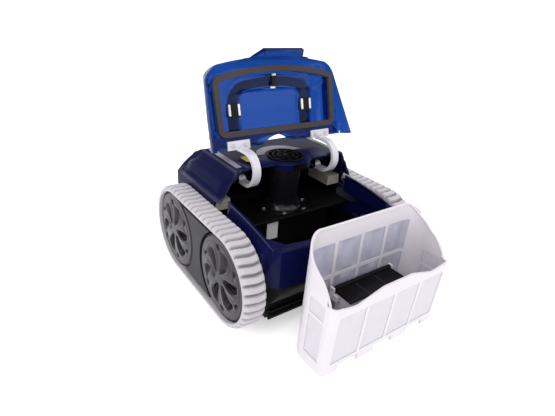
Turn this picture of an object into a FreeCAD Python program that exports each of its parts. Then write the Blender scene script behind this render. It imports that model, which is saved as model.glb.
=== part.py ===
"""Robotic pool cleaner with its lid standing open and its filter basket set down in front of it.

Millimetres, +Z up, +X to the cleaner's right side as seen from the front, +Y to its rear.
The model is written about the point on the floor midway between the four wheels. Every
solid is moved to the rear by FRAME_SHIFT when it is exported, which puts the origin at the
middle of the footprint of cleaner and basket together.
"""
import FreeCAD, Part
import math
import os

V = FreeCAD.Vector
X_AXIS = V(1, 0, 0)
Y_AXIS = V(0, 1, 0)
Z_AXIS = V(0, 0, 1)

# ---------------------------------------------------------------- driving dimensions
# running gear
TRACK_SPAN = 420.0          # over both belts
BELT_WIDTH = 41.6
WHEEL_BASE = 196.7          # between front and rear axles
RIDGE_HEIGHT = 5.7          # tread ridge above the belt's carcass
BELT_THICKNESS = 5.0
WHEEL_RADIUS = 80.4
BELT_CLEARANCE = 0.6        # wheel rim to belt
RIDGE_COUNT = 58
RIDGE_ROOT = 11.0           # width of a ridge at its root
RIDGE_TIP = 6.0             # and at its tip
RIM_THICKNESS = 6.0
WHEEL_WEB = 4.0
WEB_SETBACK = 8.0           # the web's inner face behind the wheel's outer face
WHEEL_INSET = 6.5           # wheel's outer face inside the belt's edge
WHEEL_HOLE_RADIUS = 12.0
WHEEL_HUB_RADIUS = 15.0
AXLE_RADIUS = 7.0
AXLE_HEAD_RADIUS = 11.0
AXLE_HEAD = 3.0
RUNNING_FIT = 0.05          # radial play of a shaft in its bore
HUBCAP_RADIUS = 77.5
HUBCAP_EDGE = 3.0
HUBCAP_DOME = 3.5
HUBCAP_DIMPLES = 6
HUBCAP_FLAT = 9.0           # level middle of the dome
DIMPLE_INNER = 0.24         # where a hollow starts and ends, as shares of the disc's radius
DIMPLE_OUTER = 0.72
DIMPLE_SWEEP = 14.0         # how far a hollow leans round towards its outer end
DIMPLE_WIDTH = 8.0
DISC_SLOT_GAP = 4.0         # from a hollow to the small slot beyond it
DISC_SLOT_LENGTH = 8.0
DISC_SLOT_WIDTH = 10.0
SIDE_PLATE_THICKNESS = 6.0
SIDE_PLATE_GAP = 5.5        # side plate to hubcap, all round
SIDE_PLATE_RECESS = 9.5     # side plate below the belt's upper run
POST_RADIUS = 8.0
POST_OFFSET = 34.0          # posts above and below the axle height

# drive: one motor on each side turns the rear wheel through a pair of gears
GEAR_MODULE = 2.0
PINION_TEETH = 12
GEAR_TEETH = 36
GEAR_FACE = 9.0
GEAR_BACKLASH = 0.45
DRIVE_SHAFT_RADIUS = 5.0
DRIVE_MOTOR_RADIUS = 17.0
DRIVE_MOTOR_LENGTH = 46.0

# body
BODY_GAP = 4.4              # from the side wall to the belt beside it
BODY_WALL = 4.0
BODY_FRONT = 188.0          # front panel ahead of the centre
BODY_BOW = 7.0              # how far its middle bulges
BODY_REAR = 180.0
CORNER_SET = 24.0           # size of the chamfered front corners
FLOOR_Z = 18.0              # ground clearance
SEAM_Z = 98.0               # chassis to shell
SHELF_Z = 160.0             # gutter beside the rim, where the lid's skirt comes down
GUTTER = 14.0               # from the side wall to the raised rim
RIM_WALL = 4.5
RIM_FRONT_Z = 170.0
RIM_REAR_Z = 193.0
RIM_CROWN = 5.0             # bulge of the rim's top line, seen from the side
RIM_NOSE = 14.0             # length and drop of its rounded front end
RIM_NOSE_DROP = 6.0
DECK_Z = 250.0
SHOULDER_RUN = 37.0         # from the side wall in to the deck's edge
DECK_FRONT = -18.0
DECK_REAR = 116.0
DECK_THICKNESS = 4.0
SHOULDER_Z = 186.0
HUMP_FOOT = 34.0            # the hump's front wall at its foot, behind the deck's front edge
HUMP_LEAN = 14.0
BACK_ROUND = 26.0           # rounding from the deck down to the rear wall
BACK_DROP = 22.0
UNDERCUT = 40.0             # the chassis' ends lean back this far towards the floor
CHEEK_HALF = 22.0           # raised chassis wall that carries an axle
CHEEK_TOP = 116.0
CHEEK_THICKNESS = 12.0
SEAT_GAP = 0.3              # clearance of a piece that is set into another
SCREW_RADIUS = 2.5
SCREW_HEAD_RADIUS = 5.0
SCREW_HEAD = 3.0
SCREW_SINK = 6.0            # depth of the heads' recesses under the chassis
SCREW_BITE = 12.0           # screw in the shell's boss
SCREW_BOSS_RADIUS = 8.0
SCREW_BOSS_TOP = 16.0
SCREW_BOSS_INSET = 11.0     # boss centre inside the side wall
SCREW_BOSS_YS = (-60.0, 8.0)
CRADLE_HALF = 12.0
RIM_SETBACK = 10.0          # the rim's front edge behind the front panel
DECK_LIP = 14.0             # depth of the deck's front edge
GLAND_RADIUS = 8.0
GLAND_BORE = 4.0
GLAND_REACH = 9.0
GLAND_X = -70.0
GLAND_Z = 135.0

# outlet, flow tube and pump
OUTLET_Y = 13.5
OUTLET_RADIUS = 38.3
OUTLET_LIP = 14.0           # deck around the outlet
GRILLE_THICKNESS = 3.0
GRILLE_ARMS = 9
TUBE_RADIUS = 32.5
TUBE_WALL = 2.5
TUBE_FLARE = 12.0
MOTOR_TOP_Z = 140.0
MOTOR_LEFT_GAP = 60.0       # ledge to the body's side
MOTOR_RIGHT_GAP = 16.0
MOTOR_FRONT = -37.0
MOTOR_REAR = 68.0
MOTOR_LEDGE = 6.0
MOTOR_STEP = 8.0            # housing inside the ledge's left end
MOTOR_INSET = 9.0
MOTOR_WALL = 4.0
IMPELLER_RADIUS = 28.0
IMPELLER_HUB = 10.0
IMPELLER_BLADES = 4
IMPELLER_HEIGHT = 16.0
IMPELLER_Z = 212.0
SHAFT_RADIUS = 4.0
PUMP_MOTOR_RADIUS = 30.0
PUMP_SHAFT_SEAT = 30.0      # shaft inside the motor
LEDGE_ROUND = 3.0
TUBE_SCREW_CIRCLE = 50.0
TUBE_SCREW_BITE = 5.0
TUBE_FLANGE = 4.0
GRILLE_RISE = 2.8
GRILLE_RING = 3.5
GRILLE_HUB = 6.0
FLOAT_WIDTH = 34.0
FLOAT_LENGTH = 70.0
FLOAT_HEIGHT = 22.0
FLOAT_SETBACK = 32.0        # behind the deck's front edge
LABEL_THICKNESS = 0.5
TRIM_WIDTH = 12.0
TRIM_THICKNESS = 1.2

# brushes at the front and rear lower edges
BRUSH_Y = 152.0
BRUSH_Z = 38.0
BRUSH_RADIUS = 21.0
BRUSH_CORE = 11.0
BRUSH_FINS = 10
BRUSH_BAY_INSET = 14.0      # bay's end inside the side wall
BRUSH_END_GAP = 4.0
BRUSH_CLEARANCE = 3.0
BRUSH_FIN = 3.0
BRUSH_STUB = 9.0            # shaft end in the bay's side wall
BAY_WALL = 3.0

# intake and basket bay
INTAKE_Y = -78.0
INTAKE_HALF = 66.0
INTAKE_DEPTH = 26.0
INTAKE_COLLAR = 14.0

# lid, drawn level about a pivot of its own and then swung up to its open stop
HINGE_Y = 28.0              # hinge pins; the lid turns 110 degrees about them to shut
HINGE_Z = 212.0
DRAWING_PIVOT_Y = 25.0
DRAWING_PIVOT_Z = 210.0
LID_SWING = 105.0           # degrees from level, as drawn, to the open stop
ARM_INSET = 31.0            # arm's middle inside the deck's side edge
ARM_WIDTH = 15.0
ARM_THICKNESS = 7.0
ARM_EYE = 9.0
ARM_SLOT_GAP = 3.0
ARM_SLOT_DEPTH = 9.0
LOOP_RADIUS = 32.0          # the arm's forward loop round the deck's edge
LOOP_SETBACK = 26.0
LOOP_DROP = 2.0             # the loop's lower run below the pin
PLATE_SETBACK = 7.0
PLATE_SHIFT = 4.0
PLATE_FOOT = 10.0
HINGE_PIN_RADIUS = 4.0
LUG_THICKNESS = 5.0
LUG_GAP = 0.4
LID_WALL = 3.0
LID_BELT_GAP = 0.4          # the skirt's widest place to the belts
LID_NARROWING = 17.0        # each side, from the rear to where the front corners start
LID_LEAN = 39.0             # each side, from the skirt up to the top
LID_REAR = -38.5
LID_REAR_Z = 238.0
LID_FRONT = -204.0
LID_SKIRT_Z = 170.0         # the skirt's lower edge at the rear
LID_CORNER_Z = 200.0        # and at the front corners, clear of the rim when shut
LID_LIP_Z = 188.0           # and across the front, behind the tab
LID_LIP_HALF = 74.0
LID_BROW_Y = -187.0         # where the top turns down to the front
LID_BROW_Z = 215.0
LID_CROWN = 9.0             # bulge of the top between its rear edge and its brow
LID_BROW_ROUND = 3.0
LID_SIDE_ROUND = 2.5
LID_CORNER_ROUND = 4.0
LID_SHOULDER_Z = 192.0
LID_SHOULDER_IN = 6.0
LID_CORNER = 24.0
LID_CORNER_DEPTH = 27.0
LID_BOW = 12.5
LID_ARC_GAP = 16.0
TAB_STUD = 4.0
TAB_HALF = 43.0
TAB_BASE_HALF = 60.0
TAB_REACH = 10.5
TAB_DROP = 20.0
TAB_THICKNESS = 4.0
GASKET_INSET = 9.0          # its outside within the rim's
GASKET_REAR = -60.0
GASKET_FRONT = -172.0
GASKET_BOW = 15.0
GASKET_WIDTH = 11.0
GASKET_HEIGHT = 5.8
GASKET_CORNER = 16.0
GASKET_Z = 199.0            # its seat on the lid
HINGE_PLATE_WIDTH = 48.0
HINGE_PLATE_HEIGHT = 17.0
HINGE_PLATE_THICKNESS = 4.0
SCREW_SPACING = 28.0

# carrying handle, recessed in the lid's outer face
HANDLE_HALF = 88.0          # centre of a leg
HANDLE_REAR = -58.0
HANDLE_FRONT = -154.0
HANDLE_WIDTH = 18.0
HANDLE_THICKNESS = 8.0
HANDLE_SINK = 1.0
HANDLE_BEND = 40.0
HANDLE_END = 5.0            # pin's centre from the leg's end
HANDLE_END_ROUND = 5.3      # of the leg's end about its pin
HANDLE_BOW = 5.0
CLIP_Y = -109.0
CLIP_LENGTH = 26.0
CLIP_THICKNESS = 1.6
GROOVE_CLEARANCE = 3.0
GROOVE_DEPTH = 10.0
HANDLE_PIN_RADIUS = 2.5
HANDLE_PIN_RISE = 1.2       # the lid's crown at the pins

# filter basket
BASKET_X = 4.5
BASKET_GAP = 25.0           # clear of the belts, and of the lid's tab as it swings down
BASKET_DEPTH = 86.5
BASKET_HALF = 140.5
BASKET_TAPER = 5.0          # each end leans in by this much
BASKET_HEIGHT = 219.3
BASKET_SIDE_HEIGHT = 196.0  # of the ends' rim, behind
BASKET_SIDE_FALL = 22.0     # from there to the middle of the ends
BASKET_FRONT_HEIGHT = 134.0
RIM_CREST = 11.0            # the front rim's rise in the middle
RIM_CORNER_RISE = 6.0       # and from its low places to the corners
RIM_PLATEAU_INSET = 45.0    # where the back rim starts to fall to the ends
RIM_ROUND = 8.0
BASKET_LEAN = 11.0          # front wall leans out by this much over the full height
BASKET_WALL = 2.6
BASKET_BACK_CORNER = 36.0
BASKET_FRONT_CORNER = 12.0
FOOT_HEIGHT = 13.0
FEET = 4
FOOT_PITCH = 84.0
FOOT_NOTCH = 44.0
WAVE_X = 88.0               # the front rim's low places
WAVE_PLATEAU = 34.0
MESH_THICKNESS = 0.6
MESH_INSET = 1.0            # the mesh lies in the middle of the walls
MESH_MARGIN = 2.0           # mesh past the window's edge, inside the wall
BACK_COLUMNS = 4
BACK_WINDOW_INSET = 23.5    # windows' outer edges inside the basket's ends
BACK_RIB = 7.0
BACK_WINDOW_TOP = 185.0
BACK_WINDOW_RIB_Z = 118.0
WINDOW_BOTTOM = 22.0
FRONT_COLUMNS = 4
FRONT_WINDOW_INSET = 16.0
FRONT_RIB = 6.0
FRONT_WINDOW_TOP = 118.0
END_WINDOW_RIB_Z = 100.0
END_WINDOW_TOP = 131.0
DUCT_PLACE = 0.47
DUCT_HALF = 66.0
DUCT_DEPTH = 34.0
DUCT_HEIGHT = 100.0
FLAP_HALF = 69.0
FLAP_DEPTH = 42.0
FLAP_THICKNESS = 3.0
FLAP_PIN_RADIUS = 2.0
FLAP_BARREL = 4.5
FLAP_LUG = 3.5
FLAP_LUG_DEPTH = 14.0
FLAP_GAP = 0.6              # between the flap's end and its lug

# ---------------------------------------------------------------- worked-out places
SIDES = (("left", -1), ("right", 1))
BELT_OUT_X = TRACK_SPAN / 2
BELT_IN_X = BELT_OUT_X - BELT_WIDTH
BELT_IN_RADIUS = WHEEL_RADIUS + BELT_CLEARANCE
BELT_RADIUS = BELT_IN_RADIUS + BELT_THICKNESS
AXLE_Z = BELT_RADIUS + RIDGE_HEIGHT
AXLE_Y = WHEEL_BASE / 2
AXLES = (("front", -AXLE_Y), ("rear", AXLE_Y))
GEAR_CENTRES = GEAR_MODULE * (PINION_TEETH + GEAR_TEETH) / 2
PINION_Y = AXLE_Y - GEAR_CENTRES
WHEEL_IN_X = BELT_IN_X + 3.0
WHEEL_OUT_X = BELT_OUT_X - WHEEL_INSET
WEB_IN_X = WHEEL_OUT_X - WEB_SETBACK
BODY_HALF = BELT_IN_X - BODY_GAP
RIM_HALF = BODY_HALF - GUTTER
DECK_HALF = BODY_HALF - SHOULDER_RUN
DECK_UNDER = DECK_Z - DECK_THICKNESS
HUB_IN_X = BODY_HALF + 1.0
GEAR_IN_X = BELT_IN_X + 7.0
SCREW_BOSS_X = BODY_HALF - SCREW_BOSS_INSET
BRUSH_BAY_HALF = BODY_HALF - BRUSH_BAY_INSET
BRUSH_HALF = BRUSH_BAY_HALF - BRUSH_END_GAP
MOTOR_LEFT = MOTOR_LEFT_GAP - BODY_HALF
MOTOR_RIGHT = BODY_HALF - MOTOR_RIGHT_GAP
MOTOR_BODY_HALF = -MOTOR_LEFT - MOTOR_STEP
ARM_X = DECK_HALF - ARM_INSET
LID_HALF = BELT_IN_X - LID_BELT_GAP
LID_FRONT_HALF = LID_HALF - LID_NARROWING
LID_TOP_HALF = LID_HALF - LID_LEAN
GASKET_HALF = RIM_HALF - GASKET_INSET
BASKET_TOP_HALF = BASKET_HALF - BASKET_TAPER
BASKET_BACK = -AXLE_Y - AXLE_Z - BASKET_GAP
BASKET_FRONT = BASKET_BACK - BASKET_DEPTH
RIM_CREST_Z = BASKET_FRONT_HEIGHT + RIM_CREST
BACK_PITCH = (2 * (BASKET_HALF - BACK_WINDOW_INSET) + BACK_RIB) / BACK_COLUMNS
FRONT_PITCH = (2 * (BASKET_HALF - FRONT_WINDOW_INSET) + FRONT_RIB) / FRONT_COLUMNS

# the frame's origin is in the middle of the whole footprint, from the belts to the basket's front
FRAME_SHIFT = (BASKET_LEAN * RIM_CREST_Z / BASKET_HEIGHT - BASKET_FRONT - AXLE_Y - AXLE_Z) / 2


# ---------------------------------------------------------------- drawing helpers
def wire(points):
    """A closed wire. A point is (a, b), or (a, b, mid_a, mid_b) for an arc that reaches it.

    A point that repeats the last one adds nothing.
    """
    edges = []
    last = points[-1][:2]
    for point in points:
        start = V(last[0], last[1], 0)
        end = V(point[0], point[1], 0)
        if len(point) == 4:
            edges.append(Part.Arc(start, V(point[2], point[3], 0), end).toShape())
        elif not start.isEqual(end, 1e-6):
            edges.append(Part.makeLine(start, end))
        last = point[:2]
    return Part.Wire(edges)


def bulge(start, end, rise):
    """An arc from start to end as wire() takes it. Its middle stands off to the left by rise."""
    run_a, run_b = end[0] - start[0], end[1] - start[1]
    length = math.hypot(run_a, run_b)
    mid_a = (start[0] + end[0]) / 2 - run_b / length * rise
    mid_b = (start[1] + end[1]) / 2 + run_a / length * rise
    return (end[0], end[1], mid_a, mid_b)


def prism(points, axis, low, high):
    """A closed outline drawn across an axis and extruded along it from low to high.

    The outline's own axes are (y, z) across X, (x, z) across Y and (x, y) across Z.
    """
    outline = wire(points) if isinstance(points, (list, tuple)) else points
    face = Part.Face(outline)
    solid = face.extrude(V(0, 0, high - low))
    if axis == "x":
        placed = FreeCAD.Placement(V(low, 0, 0), FreeCAD.Rotation(Y_AXIS, Z_AXIS, X_AXIS, "ZYX"))
    elif axis == "y":
        placed = FreeCAD.Placement(V(0, high, 0), FreeCAD.Rotation(X_AXIS, Z_AXIS, V(0, -1, 0), "ZYX"))
    else:
        placed = FreeCAD.Placement(V(0, 0, low), FreeCAD.Rotation())
    solid.Placement = placed
    return solid


def box(x0, x1, y0, y1, z0, z1):
    return Part.makeBox(x1 - x0, y1 - y0, z1 - z0, V(x0, y0, z0))


def side_box(side, x0, x1, y0, y1, z0, z1):
    """A box between two distances from the centre plane, on the left (-1) or right (1)."""
    return box(min(side * x0, side * x1), max(side * x0, side * x1), y0, y1, z0, z1)


def rod(side, radius, x0, x1, y, z):
    """A round bar along X between two distances from the centre plane."""
    return Part.makeCylinder(radius, x1 - x0, V(side * x0, y, z), V(side, 0, 0))


def upright(radius, z0, z1, x, y):
    return Part.makeCylinder(radius, z1 - z0, V(x, y, z0))


def mirrored(shape):
    return shape.mirror(V(0, 0, 0), X_AXIS)


def on_side(shape, side):
    """A shape drawn on the right, for either side."""
    return shape if side > 0 else mirrored(shape)


def fused(shapes):
    whole = shapes[0]
    if len(shapes) > 1:
        whole = whole.fuse(shapes[1:])
    return whole.removeSplitter()


def group(shapes):
    return Part.makeCompound(shapes)


def vertical_edges(shape, test):
    """The straight upright edges whose middle passes the test."""
    found = []
    for edge in shape.Edges:
        start, end = edge.Vertexes[0].Point, edge.Vertexes[-1].Point
        middle = (start + end) * 0.5
        if abs(start.x - end.x) + abs(start.y - end.y) < 0.01 and test(middle):
            found.append(edge)
    return found


# ---------------------------------------------------------------- running gear
def stadium(radius):
    """The outline of a belt around both wheels, across X."""
    top = AXLE_Z + radius
    bottom = AXLE_Z - radius
    return wire([
        (-AXLE_Y, bottom),
        (-AXLE_Y, top, -AXLE_Y - radius, AXLE_Z),
        (AXLE_Y, top),
        (AXLE_Y, bottom, AXLE_Y + radius, AXLE_Z),
    ])


def belt_point(travel, radius):
    """The point at a distance along the belt's outside, pushed out to a radius."""
    run = WHEEL_BASE
    turn = math.pi * BELT_RADIUS
    travel = travel % (2 * run + 2 * turn)
    if travel < run:
        return (-AXLE_Y + travel, AXLE_Z + radius)
    travel -= run
    if travel < turn:
        angle = math.pi / 2 - travel / BELT_RADIUS
        return (AXLE_Y + radius * math.cos(angle), AXLE_Z + radius * math.sin(angle))
    travel -= turn
    if travel < run:
        return (AXLE_Y - travel, AXLE_Z - radius)
    travel -= run
    angle = -math.pi / 2 - travel / BELT_RADIUS
    return (-AXLE_Y + radius * math.cos(angle), AXLE_Z + radius * math.sin(angle))


def track(side):
    """A ribbed rubber belt. A ridge stands square on the floor under the middle of each side."""
    length = 2 * WHEEL_BASE + 2 * math.pi * BELT_RADIUS
    pitch = length / RIDGE_COUNT
    start = WHEEL_BASE * 1.5 + math.pi * BELT_RADIUS
    outline = []
    for ridge in range(RIDGE_COUNT):
        centre = start + ridge * pitch
        outline.append(belt_point(centre - RIDGE_ROOT / 2, BELT_RADIUS))
        outline.append(belt_point(centre - RIDGE_TIP / 2, BELT_RADIUS + RIDGE_HEIGHT))
        outline.append(belt_point(centre + RIDGE_TIP / 2, BELT_RADIUS + RIDGE_HEIGHT))
        outline.append(belt_point(centre + RIDGE_ROOT / 2, BELT_RADIUS))
    belt = prism(outline, "x", BELT_IN_X, BELT_OUT_X)
    belt = belt.cut(prism(stadium(BELT_IN_RADIUS), "x", BELT_IN_X - 1, BELT_OUT_X + 1))
    return on_side(belt, side)


def turned(profile, y):
    """A profile of (x, radius) points turned about a wheel's axle, on the right."""
    face = Part.Face(wire(profile))
    solid = face.revolve(V(0, 0, 0), X_AXIS, 360)
    solid.translate(V(0, y, AXLE_Z))
    return solid


def wheel(side, y):
    profile = [
        (WHEEL_IN_X, WHEEL_RADIUS - RIM_THICKNESS),
        (WHEEL_IN_X, WHEEL_RADIUS),
        (WHEEL_OUT_X, WHEEL_RADIUS),
        (WHEEL_OUT_X, WHEEL_RADIUS - RIM_THICKNESS),
        (WEB_IN_X + WHEEL_WEB, WHEEL_RADIUS - RIM_THICKNESS),
        (WEB_IN_X + WHEEL_WEB, AXLE_RADIUS + RUNNING_FIT),
        (HUB_IN_X, AXLE_RADIUS + RUNNING_FIT),
        (HUB_IN_X, WHEEL_HUB_RADIUS),
        (WEB_IN_X, WHEEL_HUB_RADIUS),
        (WEB_IN_X, WHEEL_RADIUS - RIM_THICKNESS),
    ]
    drum = turned(profile, y)
    hole_circle = (WHEEL_HUB_RADIUS + WHEEL_RADIUS - RIM_THICKNESS) / 2
    for turn in range(HUBCAP_DIMPLES):
        angle = math.radians(360 / HUBCAP_DIMPLES * turn)
        hole_y = y + hole_circle * math.cos(angle)
        hole_z = AXLE_Z + hole_circle * math.sin(angle)
        drum = drum.cut(rod(1, WHEEL_HOLE_RADIUS, WEB_IN_X - 1, WEB_IN_X + WHEEL_WEB + 1, hole_y, hole_z))
    return on_side(drum, side)


def hubcap(side, y):
    """A domed disc with fan-like hollows, clipped on the wheel's outer face."""
    face_x = WHEEL_OUT_X + HUBCAP_EDGE
    crown = face_x + HUBCAP_DOME
    inner = crown - HUBCAP_EDGE
    boss_in = WEB_IN_X + WHEEL_WEB
    cap = turned([
        (WHEEL_OUT_X, 0.0),
        (WHEEL_OUT_X, HUBCAP_RADIUS),
        (face_x, HUBCAP_RADIUS),
        (crown, HUBCAP_FLAT, face_x + HUBCAP_DOME * 0.7, HUBCAP_RADIUS / 2),
        (crown, 0.0),
    ], y)
    boss_outer = turned([
        (boss_in, WHEEL_HUB_RADIUS - 1.0),
        (WHEEL_OUT_X, WHEEL_HUB_RADIUS - 1.0),
        (WHEEL_OUT_X, WHEEL_HUB_RADIUS + 2.0),
        (boss_in, WHEEL_HUB_RADIUS + 2.0),
    ], y)
    cap = cap.fuse(boss_outer)
    hollow = dimple(inner)
    for turn in range(HUBCAP_DIMPLES):
        cutter = hollow.copy()
        cutter.rotate(V(0, 0, 0), X_AXIS, 360 / HUBCAP_DIMPLES * turn)
        cutter.translate(V(0, y, AXLE_Z))
        cap = cap.cut(cutter)
    return on_side(cap, side)


def dimple(floor_x):
    """One curved fan-blade hollow beside the hub, about the X axis, and the slot beyond it."""
    inner = HUBCAP_RADIUS * DIMPLE_INNER
    outer = HUBCAP_RADIUS * DIMPLE_OUTER
    root, tip = (inner, 0.0), (outer, DIMPLE_SWEEP)
    heel = (outer - DIMPLE_WIDTH * 0.75, DIMPLE_SWEEP + DIMPLE_WIDTH)
    top = floor_x + HUBCAP_EDGE + HUBCAP_DOME
    blade = prism([
        bulge(heel, root, -DIMPLE_WIDTH),
        bulge(root, tip, -DIMPLE_WIDTH),
        bulge(tip, heel, -1.0),
    ], "x", floor_x, top)
    near = (outer + DISC_SLOT_GAP, -DISC_SLOT_WIDTH / 2)
    far = (outer + DISC_SLOT_GAP + DISC_SLOT_LENGTH, DISC_SLOT_WIDTH / 2)
    slot = prism([bulge(far, near, -3.0), bulge(near, far, -1.5)], "x", floor_x + 1.0, top)
    return blade.fuse(slot)


def side_plate(side):
    """The flat cover between a side's two wheels, on two posts off the body's wall."""
    outer_x = WHEEL_OUT_X + HUBCAP_EDGE
    inner_x = outer_x - SIDE_PLATE_THICKNESS
    plate = prism(stadium(BELT_IN_RADIUS - SIDE_PLATE_RECESS), "x", inner_x, outer_x)
    for name, y in AXLES:
        reach = math.copysign(BELT_IN_RADIUS * 2, y)
        beyond = box(inner_x - 1, outer_x + 1, min(y, y + reach), max(y, y + reach), 0, 2 * AXLE_Z)
        opening = rod(1, HUBCAP_RADIUS + SIDE_PLATE_GAP, inner_x - 1, outer_x + 1, y, AXLE_Z)
        plate = plate.cut(beyond).cut(opening)
    posts = [rod(1, POST_RADIUS, BODY_HALF, inner_x, 0, AXLE_Z + up * POST_OFFSET) for up in (-1, 1)]
    return on_side(fused([plate] + posts), side)


def axle(side, y):
    """A headed pin from the body's cheek, on which a wheel turns."""
    seat_x = BODY_HALF - CHEEK_THICKNESS
    web_out = WEB_IN_X + WHEEL_WEB
    pin = rod(1, AXLE_RADIUS, seat_x, web_out + SEAT_GAP, y, AXLE_Z)
    head = rod(1, AXLE_HEAD_RADIUS, web_out + SEAT_GAP, web_out + SEAT_GAP + AXLE_HEAD, y, AXLE_Z)
    return on_side(pin.fuse(head), side)


def involute_gear(teeth, face, bore):
    """A spur gear about the X axis from x = 0. A tooth's middle points along +Y."""
    pressure = math.radians(20)
    pitch_radius = GEAR_MODULE * teeth / 2
    base = pitch_radius * math.cos(pressure)
    tip = pitch_radius + 0.85 * GEAR_MODULE
    root = pitch_radius - 1.2 * GEAR_MODULE
    half = math.pi / (2 * teeth) - GEAR_BACKLASH / (2 * pitch_radius)
    at_pitch = math.tan(pressure) - pressure

    def half_angle(radius):
        if radius <= base:
            return half + at_pitch
        roll = math.acos(base / radius)
        return half + at_pitch - (math.tan(roll) - roll)

    steps = 5
    first = max(base, root)
    radii = [root] + [first + (tip - first) * i / steps for i in range(steps + 1)]
    if first - root < 0.05:
        radii = radii[1:]
    outline = []
    for tooth in range(teeth):
        middle = 2 * math.pi * tooth / teeth
        for radius in radii:
            outline.append((radius * math.cos(middle - half_angle(radius)),
                            radius * math.sin(middle - half_angle(radius))))
        for radius in reversed(radii):
            outline.append((radius * math.cos(middle + half_angle(radius)),
                            radius * math.sin(middle + half_angle(radius))))
    gear = prism(outline, "x", 0, face)
    return gear.cut(rod(1, bore, -1, face + 1, 0, 0))


def drive_gear(side):
    """The large gear on the rear wheel's hub."""
    gear = involute_gear(GEAR_TEETH, GEAR_FACE, WHEEL_HUB_RADIUS)
    gear.rotate(V(0, 0, 0), X_AXIS, 180.0 / GEAR_TEETH)
    gear.translate(V(GEAR_IN_X, AXLE_Y, AXLE_Z))
    return on_side(gear, side)


def drive_pinion(side):
    """The small gear on the motor's shaft."""
    gear = involute_gear(PINION_TEETH, GEAR_FACE, DRIVE_SHAFT_RADIUS)
    gear.translate(V(GEAR_IN_X, PINION_Y, AXLE_Z))
    return on_side(gear, side)


def motor_shaft_in():
    return BODY_HALF - BODY_WALL - DRIVE_MOTOR_LENGTH / 2


def drive_shaft(side):
    shaft = rod(1, DRIVE_SHAFT_RADIUS, motor_shaft_in(), GEAR_IN_X + GEAR_FACE, PINION_Y, AXLE_Z)
    return on_side(shaft, side)


def drive_motor(side):
    outer = BODY_HALF - BODY_WALL
    can = rod(1, DRIVE_MOTOR_RADIUS, outer - DRIVE_MOTOR_LENGTH, outer, PINION_Y, AXLE_Z)
    bore = rod(1, DRIVE_SHAFT_RADIUS + RUNNING_FIT, motor_shaft_in() - 1, outer + 1, PINION_Y, AXLE_Z)
    return on_side(can.cut(bore), side)


# ---------------------------------------------------------------- body
def body_plan(grow, front, rear, half):
    """The body's outline seen from above: a bowed front between chamfered corners."""
    corner_x = half - CORNER_SET - grow
    corner_y = -front + BODY_BOW + grow
    return [
        (-corner_x, corner_y),
        (corner_x, corner_y, 0, -front + grow),
        (half - grow, corner_y + CORNER_SET),
        (half - grow, rear - grow),
        (-half + grow, rear - grow),
        (-half + grow, corner_y + CORNER_SET),
    ]


def hump_section(grow, y0, y1):
    """The raised rear's cross-section: deck, sloping shoulders and side walls."""
    return prism([
        (-BODY_HALF + grow, SHELF_Z - grow - 1),
        (-BODY_HALF + grow, SHOULDER_Z - grow),
        (-DECK_HALF + grow, DECK_Z - grow),
        (DECK_HALF - grow, DECK_Z - grow),
        (BODY_HALF - grow, SHOULDER_Z - grow),
        (BODY_HALF - grow, SHELF_Z - grow - 1),
    ], "y", y0, y1)


def shell_blocks(grow, bottom):
    """The shell's mass, drawn in by a wall thickness for the space inside it."""
    plan = prism(body_plan(grow, BODY_FRONT, BODY_REAR, BODY_HALF), "z", bottom, DECK_Z + 1)
    base = box(-BODY_HALF, BODY_HALF, -BODY_FRONT, BODY_REAR, bottom, SHELF_Z - grow)
    nose_foot = (-BODY_FRONT, RIM_FRONT_Z - RIM_NOSE_DROP - grow)
    nose_top = (-BODY_FRONT + RIM_NOSE, RIM_FRONT_Z - grow)
    rim_rear = (DECK_FRONT, RIM_REAR_Z - grow)
    rim_side = prism([
        (-BODY_FRONT, SHELF_Z - grow - 1),
        nose_foot,
        bulge(nose_foot, nose_top, RIM_NOSE_DROP / 3),
        bulge(nose_top, rim_rear, RIM_CROWN),
        (DECK_FRONT + HUMP_FOOT, SHELF_Z - grow - 1),
    ], "x", -RIM_HALF + grow, RIM_HALF - grow)
    hump_side = prism([
        (DECK_FRONT + HUMP_FOOT + grow, SHELF_Z - 2 * grow - 1),
        (DECK_FRONT + HUMP_FOOT - HUMP_LEAN + grow, RIM_REAR_Z),
        (DECK_FRONT, DECK_Z - DECK_LIP - grow),
        (DECK_FRONT, DECK_Z - grow),
        (DECK_REAR - grow, DECK_Z - grow),
        (BODY_REAR - grow, SHOULDER_Z - grow, BODY_REAR - BACK_ROUND - grow, DECK_Z - BACK_DROP - grow),
        (BODY_REAR - grow, SHELF_Z - 2 * grow - 1),
    ], "x", -BODY_HALF, BODY_HALF)
    hump = hump_section(grow, DECK_FRONT, BODY_REAR - grow).common(hump_side)
    return fused([base, rim_side, hump]).common(plan)


def screw_places():
    return [(side * SCREW_BOSS_X, y) for name, side in SIDES for y in SCREW_BOSS_YS]


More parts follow.
